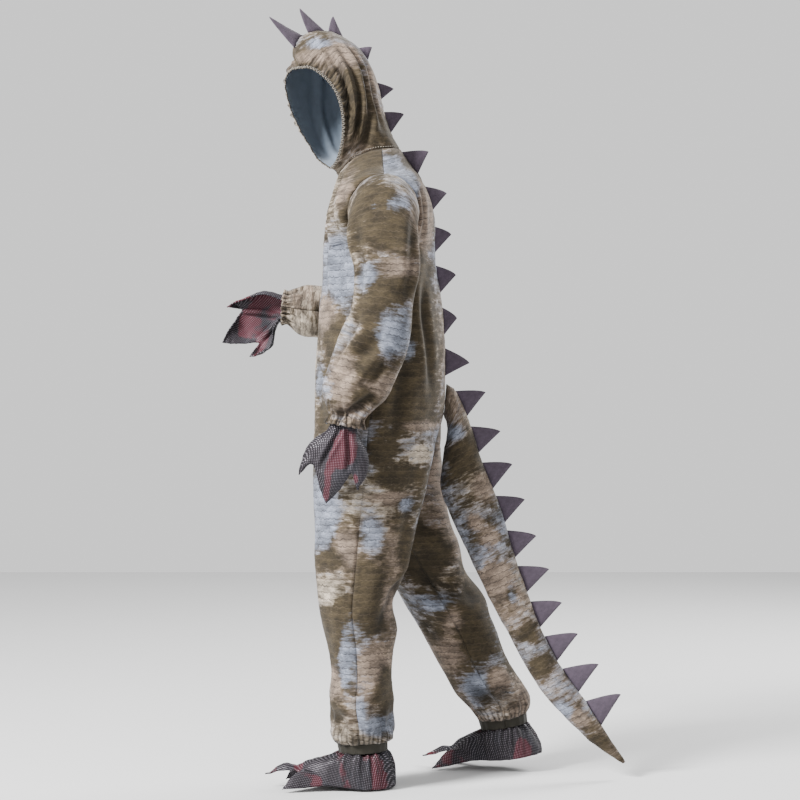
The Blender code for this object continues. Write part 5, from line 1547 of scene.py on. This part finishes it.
def make_spike(name, line, outward, row):
    """A padded leaf that stands on the back line."""
    place, base, height, lean = row
    places = lengths_to(line)

    def read(values, at):
        return read_line(places, values, at)

    middle = (read(line, place) + read(line, place - base / 6) + read(line, place + base / 6)) / 3
    way = unit(read(line, place + base / 2) - read(line, place - base / 2))
    normal = unit(sum(read(outward, place + step * base) for step in (-0.3, 0.0, 0.3)))
    normal = unit(normal - way * normal.dot(way))
    across = np.cross(normal, way)
    tip = middle + normal * height + way * lean
    sides = np.linspace(-1, 1, SPIKE_COLUMNS)
    parts = np.linspace(0, 0.97, SPIKE_ROWS)
    rings, fabric, edges = [], [], []
    for part in parts:
        front, flat, edge = [], [], []
        for side in sides:
            spot = read(line, place + side * base / 2)
            foot = spot + normal * (2 * SEAM_GAP - 0.0010)
            narrow = (1 - part) ** (0.70 if side < 0 else 1.05)
            point = middle + (tip - middle) * part + (foot - middle) * narrow
            inner = (1 - side * side) ** 0.8 * (1 - part) ** 0.5
            thick = SPIKE_THICKNESS / 2 * inner * ease(0.35 + part * 4) + SPIKE_EDGE / 2
            front.append((point, thick))
            flat.append((side * narrow * base / 2, part * height))
            edge.append((1 - abs(side)) * narrow * base / 2)
        ring = [point + across * thick for point, thick in front]
        ring += [point - across * thick for point, thick in reversed(front)]
        rings.append(ring)
        fabric += flat + flat[::-1]
        edges += edge + edge[::-1]
    points = np.array(rings).reshape(-1, 3)
    points = np.vstack((points, tip))
    fabric = np.array(fabric + [(0.0, height)])
    edges = np.array(edges + [0.0])
    ring = 2 * SPIKE_COLUMNS
    faces = tube_faces(0, SPIKE_ROWS, ring)
    faces += [(column + 1, column, ring - 1 - column, ring - 2 - column)
              for column in range(SPIKE_COLUMNS - 1)]
    last = (SPIKE_ROWS - 1) * ring
    faces += [(last + column, last + (column + 1) % ring, len(points) - 1)
              for column in range(ring)]
    puff = wavy(points, FELT_WAVES, 51)
    points = points + across * (puff * np.sign((points - middle) @ across))[:, None]
    mesh = bpy.data.meshes.new(name)
    mesh.from_pydata((points - ORIGIN).tolist(), [], faces)
    solid = bmesh.new()
    solid.from_mesh(mesh)
    bmesh.ops.recalc_face_normals(solid, faces=solid.faces)
    solid.to_mesh(mesh)
    solid.free()
    mesh.materials.append(MATERIALS["spike_felt"])
    mesh.polygons.foreach_set("use_smooth", np.ones(len(faces), dtype=bool))
    write_places(mesh, fabric)
    write_values(mesh, "tone", np.repeat(np.clip(edges / 0.010, 0, 1)[:, None], 3, axis=1))
    made = add_object("padded_" + name, mesh)
    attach(made, "root")
    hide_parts(name)


def add_stitches(name, spots, ways, ups, length, radius):
    """Small arched threads, one at each spot."""
    steps = np.linspace(0, 1, STITCH_RINGS)
    turns = np.linspace(0, 2 * math.pi, STITCH_SIDES + 1)[:-1]
    side = np.cross(ways, ups)
    rise = np.sin(math.pi * steps)
    thick = radius * (0.35 + 0.65 * rise)
    middle = (spots[:, None] + ways[:, None] * ((steps - 0.5) * length)[None, :, None]
              + ups[:, None] * (radius * 1.1 * rise - radius * 0.4)[None, :, None])
    ring = (side[:, None, None] * np.cos(turns)[None, None, :, None]
            + ups[:, None, None] * np.sin(turns)[None, None, :, None])
    points = middle[:, :, None] + ring * thick[None, :, None, None]
    points = points.reshape(-1, 3) - ORIGIN
    faces = []
    for stitch in range(len(spots)):
        start = stitch * STITCH_RINGS * STITCH_SIDES
        after = start + STITCH_RINGS * STITCH_SIDES
        faces += tube_faces(start, STITCH_RINGS, STITCH_SIDES)
        faces.append(tuple(range(start, start + STITCH_SIDES))[::-1])
        faces.append(tuple(range(after - STITCH_SIDES, after)))
    mesh = bpy.data.meshes.new(name)
    mesh.from_pydata(points.tolist(), [], faces)
    mesh.materials.append(MATERIALS["thread"])
    made = add_object(name, mesh)
    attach(made, "root")


def put(tree, kind, inputs=(), **settings):
    """Adds a node, with its settings and its inputs as values or links."""
    made = tree.nodes.new(kind)
    for key, value in settings.items():
        setattr(made, key, value)
    for key, value in inputs:
        if isinstance(value, bpy.types.NodeSocket):
            tree.links.new(value, made.inputs[key])
        else:
            made.inputs[key].default_value = value
    return made


def start_look(name, roughness, sheen):
    """A new material, its nodes and its shader."""
    look = bpy.data.materials.new(name)
    look.use_nodes = True
    shader = look.node_tree.nodes["Principled BSDF"]
    shader.inputs["Roughness"].default_value = roughness
    shader.inputs["Sheen Weight"].default_value = sheen
    shader.inputs["Sheen Roughness"].default_value = 0.45
    shader.inputs["Specular IOR Level"].default_value = 0.25
    return look, look.node_tree, shader


def math_node(tree, operation, first, second=0.0):
    """One sum of two values or links."""
    return put(tree, "ShaderNodeMath", ((0, first), (1, second)), operation=operation).outputs[0]


def times(tree, first, second):
    """The first value times the second."""
    return math_node(tree, "MULTIPLY", first, second)


def plus(tree, first, second):
    """The first value and the second together."""
    return math_node(tree, "ADD", first, second)


def minus(tree, first, second):
    """The first value less the second."""
    return math_node(tree, "SUBTRACT", first, second)


def larger(tree, first, second):
    """The larger of two values."""
    return math_node(tree, "MAXIMUM", first, second)


def to_end(tree, part):
    """How far a part between 0 and 1 is from the nearer of the two."""
    return math_node(tree, "MINIMUM", part, minus(tree, 1.0, part))


def vector_node(tree, operation, first, second):
    """One sum of two vectors."""
    return put(tree, "ShaderNodeVectorMath", ((0, first), (1, second)),
               operation=operation).outputs[0]


def remap(tree, value, low, high, to_low=0.0, to_high=1.0):
    """The value eased from one range into another."""
    return put(tree, "ShaderNodeMapRange", (
        ("Value", value), ("From Min", low), ("From Max", high), ("To Min", to_low),
        ("To Max", to_high)), interpolation_type="SMOOTHSTEP").outputs["Result"]


def mix(tree, part, first, second):
    """The second colour over the first, by its part."""
    first = (*first, 1.0) if isinstance(first, tuple) else first
    second = (*second, 1.0) if isinstance(second, tuple) else second
    return put(tree, "ShaderNodeMix", ((0, part), (6, first), (7, second)),
               data_type="RGBA").outputs[2]


def grain(tree, place, scale, detail=3.0, rough=0.6, output="Fac"):
    """Noise over the cloth, with its own scale across and along."""
    stretched = put(tree, "ShaderNodeMapping", (("Vector", place), ("Scale", (*scale, 1.0))))
    return put(tree, "ShaderNodeTexNoise", (
        ("Vector", stretched.outputs[0]), ("Scale", 1.0), ("Detail", detail),
        ("Roughness", rough))).outputs[output]


def shaded(tree, colour, value):
    """The colour, lighter or darker by that factor."""
    return put(tree, "ShaderNodeHueSaturation", (("Value", value), ("Color", colour))).outputs[0]


def dim(colour, factor):
    """A colour value times a factor."""
    return tuple(value * factor for value in colour)


def raise_surface(tree, shader, height, strength, distance):
    """Tilts the surface as if it had that height, times the distance in metres."""
    bump = put(tree, "ShaderNodeBump", (
        ("Strength", strength), ("Distance", distance), ("Height", height)))
    tree.links.new(bump.outputs[0], shader.inputs["Normal"])


def fabric_place(tree):
    """The place on the cloth, in metres."""
    return put(tree, "ShaderNodeUVMap", uv_map="cloth").outputs[0]


def tone_values(tree):
    """The three values that write_values gave as tone."""
    tone = put(tree, "ShaderNodeAttribute", attribute_name="tone")
    return put(tree, "ShaderNodeSeparateColor", (("Color", tone.outputs["Color"]),)).outputs


def gather_values(tree, place):
    """Fine gathers as -1 to 1, how strong they are, and how deep the cloth lies in a fold, which
    sets the painted fold shade.
    """
    found = put(tree, "ShaderNodeAttribute", attribute_name="gather")
    parts = put(tree, "ShaderNodeSeparateColor", (("Color", found.outputs["Color"]),)).outputs
    wander = grain(tree, place, (28.0, 28.0), 2.0)
    phase = plus(tree, times(tree, parts[1], math.pi / GATHER_PITCH), times(tree, wander, 11.0))
    return math_node(tree, "SINE", phase), parts[0], parts[2]


def paint_crease_shade(tree, colour, place):
    """The colour with shade painted in folds and between gathers, and the gathers' height."""
    wave, close, hollow = gather_values(tree, place)
    # Painted shade: darker in the gathers' troughs and where the cloth lies deep in a fold.
    dip = remap(tree, wave, -1.0, 0.3, 1.0, 0.0)
    dark = times(tree, times(tree, dip, close), 0.70)
    dark = larger(tree, dark, times(tree, hollow, 0.62))
    return shaded(tree, colour, minus(tree, 1.0, dark)), times(tree, wave, close)


def scale_cells(tree, place):
    """Rows of uneven, arched scales: how much of a crack, a number for each scale, and the
    place up the scale."""
    wobble = grain(tree, place, (48.0, 60.0), 2.5, output="Color")
    wobble = vector_node(tree, "SUBTRACT", wobble, (0.5, 0.5, 0.5))
    wobble = vector_node(tree, "MULTIPLY", wobble, SCALE_WOBBLE)
    moved = vector_node(tree, "ADD", place, wobble)
    parts = put(tree, "ShaderNodeSeparateXYZ", (("Vector", moved),)).outputs
    across = math_node(tree, "DIVIDE", parts[0], SCALE_LENGTH)
    arch = times(tree, across, 2 * math.pi)
    arch = math_node(tree, "ABSOLUTE", math_node(tree, "SINE", arch))
    up = plus(tree, math_node(tree, "DIVIDE", parts[1], SCALE_HEIGHT),
              times(tree, arch, SCALE_ARCH))
    row = math_node(tree, "FLOOR", up)
    up_part = minus(tree, up, row)
    odd = plus(tree, across, times(tree, row, 0.47))
    column = math_node(tree, "FLOOR", odd)
    across_part = minus(tree, odd, column)
    level = times(tree, SCALE_HEIGHT, to_end(tree, up_part))
    beside = times(tree, 1.25 * SCALE_LENGTH, to_end(tree, across_part))
    lying = remap(tree, level, 0.2 * CRACK_WIDTH, 1.7 * CRACK_WIDTH, 1.0, 0.0)
    upright = remap(tree, beside, 0.1 * CRACK_WIDTH, 1.5 * CRACK_WIDTH, 0.55, 0.0)
    crack = larger(tree, lying, upright)
    cell = put(tree, "ShaderNodeCombineXYZ", (("X", column), ("Y", row)))
    chance = put(tree, "ShaderNodeTexWhiteNoise", (("Vector", cell.outputs[0]),),
                 noise_dimensions="2D").outputs["Value"]
    return crack, chance, up_part


def swing(tree, value, middle, width):
    """The value's distance from its middle, times the width."""
    return times(tree, minus(tree, value, middle), width)


def plush_look():
    """Short pile with printed scales over soft, dabbed clouds of four tones."""
    look, tree, shader = start_look("plush_print", 0.93, 0.07)
    place = fabric_place(tree)
    tones = tone_values(tree)
    crack, chance, up_part = scale_cells(tree, place)
    drift = grain(tree, place, (11.0, 17.0), 5.0, 0.62)
    dabs = grain(tree, place, (34.0, 130.0), 5.0, 0.70)
    ragged = plus(tree, swing(tree, drift, 0.5, 0.95), swing(tree, dabs, 0.5, 0.95))
    ragged = plus(tree, ragged, swing(tree, chance, 0.5, 0.13))
    masks = [remap(tree, plus(tree, tones[number], ragged), low, high)
             for number, (low, high) in enumerate(((0.24, 0.70), (0.30, 0.74), (0.34, 0.74)))]
    colour = mix(tree, masks[0], PLUSH_OLIVE, PLUSH_TAN)
    colour = mix(tree, masks[1], colour, PLUSH_CREAM)
    colour = mix(tree, times(tree, masks[2], 0.92), colour, PLUSH_BLUE)
    mottle = grain(tree, place, (24.0, 40.0), 4.0, 0.6)
    streak = grain(tree, place, (90.0, 520.0), 4.0, 0.65)
    value = remap(tree, mottle, 0.30, 0.70, 0.58, 1.45)
    value = times(tree, value, remap(tree, streak, 0.30, 0.72, 0.66, 1.34))
    value = times(tree, value, plus(tree, 0.90, times(tree, chance, 0.22)))
    value = times(tree, value, remap(tree, up_part, 0.0, 1.0, 0.90, 1.10))
    colour = shaded(tree, colour, value)
    worn = grain(tree, place, (30.0, 30.0), 3.0)
    strength = times(tree, crack, remap(tree, worn, 0.34, 0.60, 0.45, 1.0))
    pale = larger(tree, masks[0], larger(tree, masks[1], masks[2]))
    line = mix(tree, pale, PLUSH_LINE, PLUSH_CRACK)
    strength = times(tree, strength, remap(tree, pale, 0.0, 1.0, 0.50, 0.80))
    colour = mix(tree, strength, colour, line)
    # Painted shade in folds and between gathers.
    colour, gathers = paint_crease_shade(tree, colour, place)
    tree.links.new(colour, shader.inputs["Base Color"])
    shader.inputs["Sheen Tint"].default_value = (0.80, 0.76, 0.72, 1.0)
    pile = grain(tree, place, (900.0, 900.0), 2.0)
    nap = grain(tree, place, (150.0, 220.0), 3.0)
    height = plus(tree, times(tree, pile, 0.5), nap)
    height = minus(tree, height, times(tree, crack, 0.45))
    height = plus(tree, height, times(tree, gathers, 1.8))
    raise_surface(tree, shader, height, 0.45, 0.0011)
    return look


def lining_look():
    """The pale blue back of the plush."""
    look, tree, shader = start_look("plush_back", 0.95, 0.15)
    place = fabric_place(tree)
    soft = grain(tree, place, (70.0, 70.0), 4.0)
    colour = mix(tree, soft, dim(LINING, 0.72), LINING)
    tree.links.new(colour, shader.inputs["Base Color"])
    knit = grain(tree, place, (1300.0, 500.0), 1.0)
    raise_surface(tree, shader, knit, 0.3, 0.0005)
    return look


def dot_net(tree, place, pitch):
    """A net of light and dark dots, from -1 to 1."""
    turned = put(tree, "ShaderNodeMapping", (
        ("Vector", place), ("Rotation", (0.0, 0.0, 0.62)),
        ("Scale", (2 * math.pi / pitch, 2 * math.pi / pitch, 1.0))))
    parts = put(tree, "ShaderNodeSeparateXYZ", (("Vector", turned.outputs[0]),)).outputs
    return times(tree, math_node(tree, "SINE", parts[0]), math_node(tree, "SINE", parts[1]))


def foil_look():
    """Padded cloth with red and grey streaks under a net of foil dots."""
    look, tree, shader = start_look("foil_print", 0.55, 0.0)
    place = fabric_place(tree)
    tones = tone_values(tree)
    ragged = grain(tree, place, (60.0, 40.0), 5.0, 0.65)
    ragged = swing(tree, ragged, 0.5, 0.7)
    grey = remap(tree, plus(tree, tones[1], ragged), 0.48, 0.66)
    red = remap(tree, plus(tree, tones[0], ragged), 0.55, 0.70)
    colour = mix(tree, grey, FOIL_DARK, FOIL_GREY)
    colour = mix(tree, red, colour, FOIL_RED)
    net = dot_net(tree, place, DOT_PITCH)
    light = remap(tree, net, 0.38, 0.72)
    dark = remap(tree, times(tree, net, -1.0), 0.20, 0.60)
    colour = mix(tree, times(tree, dark, 0.85), colour, FOIL_SHADE)
    colour = mix(tree, times(tree, light, 0.55), colour, FOIL_DOT)
    # Painted shade in folds and between gathers.
    colour, gathers = paint_crease_shade(tree, colour, place)
    tree.links.new(colour, shader.inputs["Base Color"])
    tree.links.new(times(tree, light, 0.30), shader.inputs["Metallic"])
    tree.links.new(remap(tree, light, 0.0, 1.0, 0.80, 0.42), shader.inputs["Roughness"])
    pad = grain(tree, place, (120.0, 120.0), 2.0)
    height = plus(tree, pad, times(tree, net, 0.12))
    height = plus(tree, height, times(tree, gathers, 1.2))
    raise_surface(tree, shader, height, 0.35, 0.0012)
    return look


def felt_look():
    """Felt with a faint net of dots, darker along its seam."""
    look, tree, shader = start_look("spike_felt_look", 0.88, 0.25)
    place = fabric_place(tree)
    edge = tone_values(tree)[0]
    soft = grain(tree, place, (90.0, 60.0), 4.0)
    colour = mix(tree, remap(tree, soft, 0.3, 0.7), dim(FELT, 0.80), dim(FELT, 1.22))
    net = remap(tree, dot_net(tree, place, FELT_DOT_PITCH), 0.35, 0.8)
    colour = mix(tree, times(tree, net, 0.16), colour, FOIL_DOT)
    seam = remap(tree, edge, 0.0, 0.30, 1.0, 0.0)
    colour = mix(tree, times(tree, seam, 0.6), colour, FELT_SEAM)
    tree.links.new(colour, shader.inputs["Base Color"])
    pile = grain(tree, place, (700.0, 700.0), 2.0)
    height = plus(tree, times(tree, pile, 0.4), soft)
    raise_surface(tree, shader, height, 0.3, 0.0012)
    return look


def ribbed_look(name, colour_value):
    """Fine ribs along elastic, edging and thread."""
    look, tree, shader = start_look(name, 0.8, 0.1)
    place = fabric_place(tree)
    soft = grain(tree, place, (400.0, 60.0), 2.0)
    colour = mix(tree, soft, dim(colour_value, 0.6), colour_value)
    tree.links.new(colour, shader.inputs["Base Color"])
    rib = grain(tree, place, (900.0, 60.0), 1.0)
    raise_surface(tree, shader, rib, 0.4, 0.0006)
    return look


MATERIALS = {
    "plush": plush_look(), "lining": lining_look(), "foil_cloth": foil_look(),
    "spike_felt": felt_look(), "elastic": ribbed_look("elastic_band", ELASTIC),
    "edging": ribbed_look("face_edging", EDGING), "thread": ribbed_look("sewing_thread", THREAD),
}


def make_pieces():
    """The smooth surfaces of the suit, of the tail and of the hand and foot covers."""
    suit = [make_face_elastic()]
    for side in (1, -1):
        suit += make_body(side)
        suit += [make_sleeve(side), make_hood(side), make_band(side)]
    seat_points, seat_faces = [], []
    for piece in suit:
        if piece.group == "back":
            seat_faces += (piece.quads + len(seat_points)).tolist()
            seat_points += piece.points.tolist()
    seat = BVHTree.FromPolygons(seat_points, seat_faces)
    tails = [make_tail(side, seat) for side in (1, -1)]
    covers = [make_glove(1), make_glove(-1), make_boot(1), make_boot(-1)]
    return suit, tails, covers


def move_surfaces(group):
    """Lays folds, pleats and waves on pieces that meet, and keeps their seams together."""
    share_normals(group)
    laid = lay_folds(group)
    for piece in group:
        piece.cut = piece.area()
        if piece.group in ("ankle", "face"):
            depth = wavy(piece.points, ELASTIC_WAVES, 15)
        else:
            depth = fold_depth(piece, laid) + loose_depth(piece)
        depth = depth + piece.extra
        piece.moved = piece.points + piece.normals * depth[:, None]
        # How deep the cloth lies in a fold, which sets the painted fold shade in the looks.
        piece.hollow = np.clip(-depth / FULL_FOLD_SHADE_DEPTH, 0, 1)
    size = max(int(piece.shared.max()) for piece in group) + 1
    sums, counts = np.zeros((size, 3)), np.zeros(size)
    for piece in group:
        np.add.at(sums, piece.shared, piece.moved)
        np.add.at(counts, piece.shared, 1)
    for piece in group:
        piece.points = (sums / np.maximum(counts, 1)[:, None])[piece.shared]
    share_normals(group)


def finish_piece(piece):
    """Builds a piece's wall of cloth, and works out the area of the flat sheet that it is cut from,
    which nothing then uses.
    """
    piece.tones = blotches(piece) if piece.look == "foil_cloth" else clouds(piece)
    outside = "edging" if piece.name == "face_elastic" else piece.look
    inside = "lining" if piece.look == "plush" else outside
    made = build_object(piece, (outside, inside))
    width, length = piece.flat
    length = max(length, EDGING_CUT)
    area = min(piece.cut, width * length)
    area = max(area, LEAST_AREA_SHARE * width * length)


def dress():
    """Builds every piece of cloth, then the spikes and the sewing."""
    suit, tails, covers = make_pieces()
    for group in (suit, tails, covers):
        move_surfaces(group)
    for piece in tails:
        # At the seat, the wall's inner edge is as far back as the outer one.
        rim = slice(0, piece.columns)
        piece.normals[rim, 1] = 0.0
        piece.normals[rim] = unit_rows(piece.normals[rim])
    pieces = {piece.name: piece for piece in suit + tails + covers}
    for piece in pieces.values():
        finish_piece(piece)
    line, outward = back_line(pieces)
    for number, row in enumerate(SPIKE_TABLE, start=1):
        make_spike(f"spike_{number:02d}", line, outward, row)
    sew_face(pieces["face_elastic"])
    sew_neck(pieces)


def resample(points, normals, pitch):
    """Evenly spaced spots on a line of points, with the way along it and the way out."""
    places = lengths_to(points)
    at = np.arange(0.0, places[-1], pitch)
    ways = (read_line(places, points, at + LOOK_AHEAD)
            - read_line(places, points, at - LOOK_AHEAD))
    return read_line(places, points, at), unit_rows(ways), unit_rows(read_line(places, normals, at))


def piece_row(piece, row):
    """The points and normals of one row of a piece's grid."""
    return (piece.points.reshape(-1, piece.columns, 3)[row],
            piece.normals.reshape(-1, piece.columns, 3)[row])


def sew_face(piece):
    """Overlock threads that lie across the elastic edge of the face opening."""
    pitch, length, radius = FACE_STITCHES
    spots, ways, ups = resample(*piece_row(piece, FINE // 2), pitch)
    tilt = np.where(np.arange(len(spots)) % 2 == 0, 0.45, -0.45)[:, None]
    lines = unit_rows(np.cross(ups, ways) + ways * tilt)
    add_stitches("stitches_face", spots, lines, ups, length, radius)


def sew_neck(pieces):
    """A row of light stitches beside the neck seam, on the hood."""
    pitch, length, radius = NECK_STITCHES
    found = [resample(*piece_row(pieces[name], 1), pitch) for name in ("hood_left", "hood_right")]
    spots, ways, ups = (np.vstack(parts) for parts in zip(*found))
    add_stitches("stitches_neck", spots, ways, ups, length, radius)


dress()

floor_mesh = bpy.data.meshes.new("floor")
floor_mesh.from_pydata([(-6, -6, 0), (6, -6, 0), (6, 6, 0), (-6, 6, 0)], [], [(0, 1, 2, 3)])
floor = add_object("floor", floor_mesh)
floor.location = (0.0, 0.0, -ORIGIN[2] - FLOOR_DROP)
floor_look = bpy.data.materials.new("pale_floor")
floor_look.use_nodes = True
floor_shader = floor_look.node_tree.nodes["Principled BSDF"]
floor_shader.inputs["Base Color"].default_value = (FLOOR_TONE, FLOOR_TONE, FLOOR_TONE, 1.0)
floor_shader.inputs["Roughness"].default_value = 0.9
floor_mesh.materials.append(floor_look)

world = bpy.data.worlds.new("studio")
world.use_nodes = True
world.node_tree.nodes["Background"].inputs["Color"].default_value = (1.0, 1.0, 1.0, 1.0)
world.node_tree.nodes["Background"].inputs["Strength"].default_value = WORLD_STRENGTH
bpy.context.scene.world = world

LIGHTS = (
    # name,  place,            size, power
    ("key", (2.8, -3.4, 2.4), 1.3, 1150.0),
    ("fill", (4.5, 2.5, 0.8), 3.0, 70.0),
    ("rim", (-2.6, 3.2, 1.8), 1.8, 380.0),
)
for name, place, size, power in LIGHTS:
    lamp = bpy.data.lights.new(name, "AREA")
    lamp.size = size
    lamp.energy = power
    made = add_object(name, lamp)
    made.location = place
    aim = Vector((0.0, 0.0, -0.4)) - Vector(place)
    made.rotation_euler = aim.to_track_quat("-Z", "Y").to_euler()

lens = bpy.data.cameras.new("photo_view")
lens.lens = CAMERA_LENS
camera = add_object("photo_view", lens)
camera.location = (CAMERA_DISTANCE - ORIGIN[0], -ORIGIN[1], CAMERA_HEIGHT - ORIGIN[2])
camera.rotation_euler = (math.radians(90), 0.0, math.radians(90))
bpy.context.scene.camera = camera
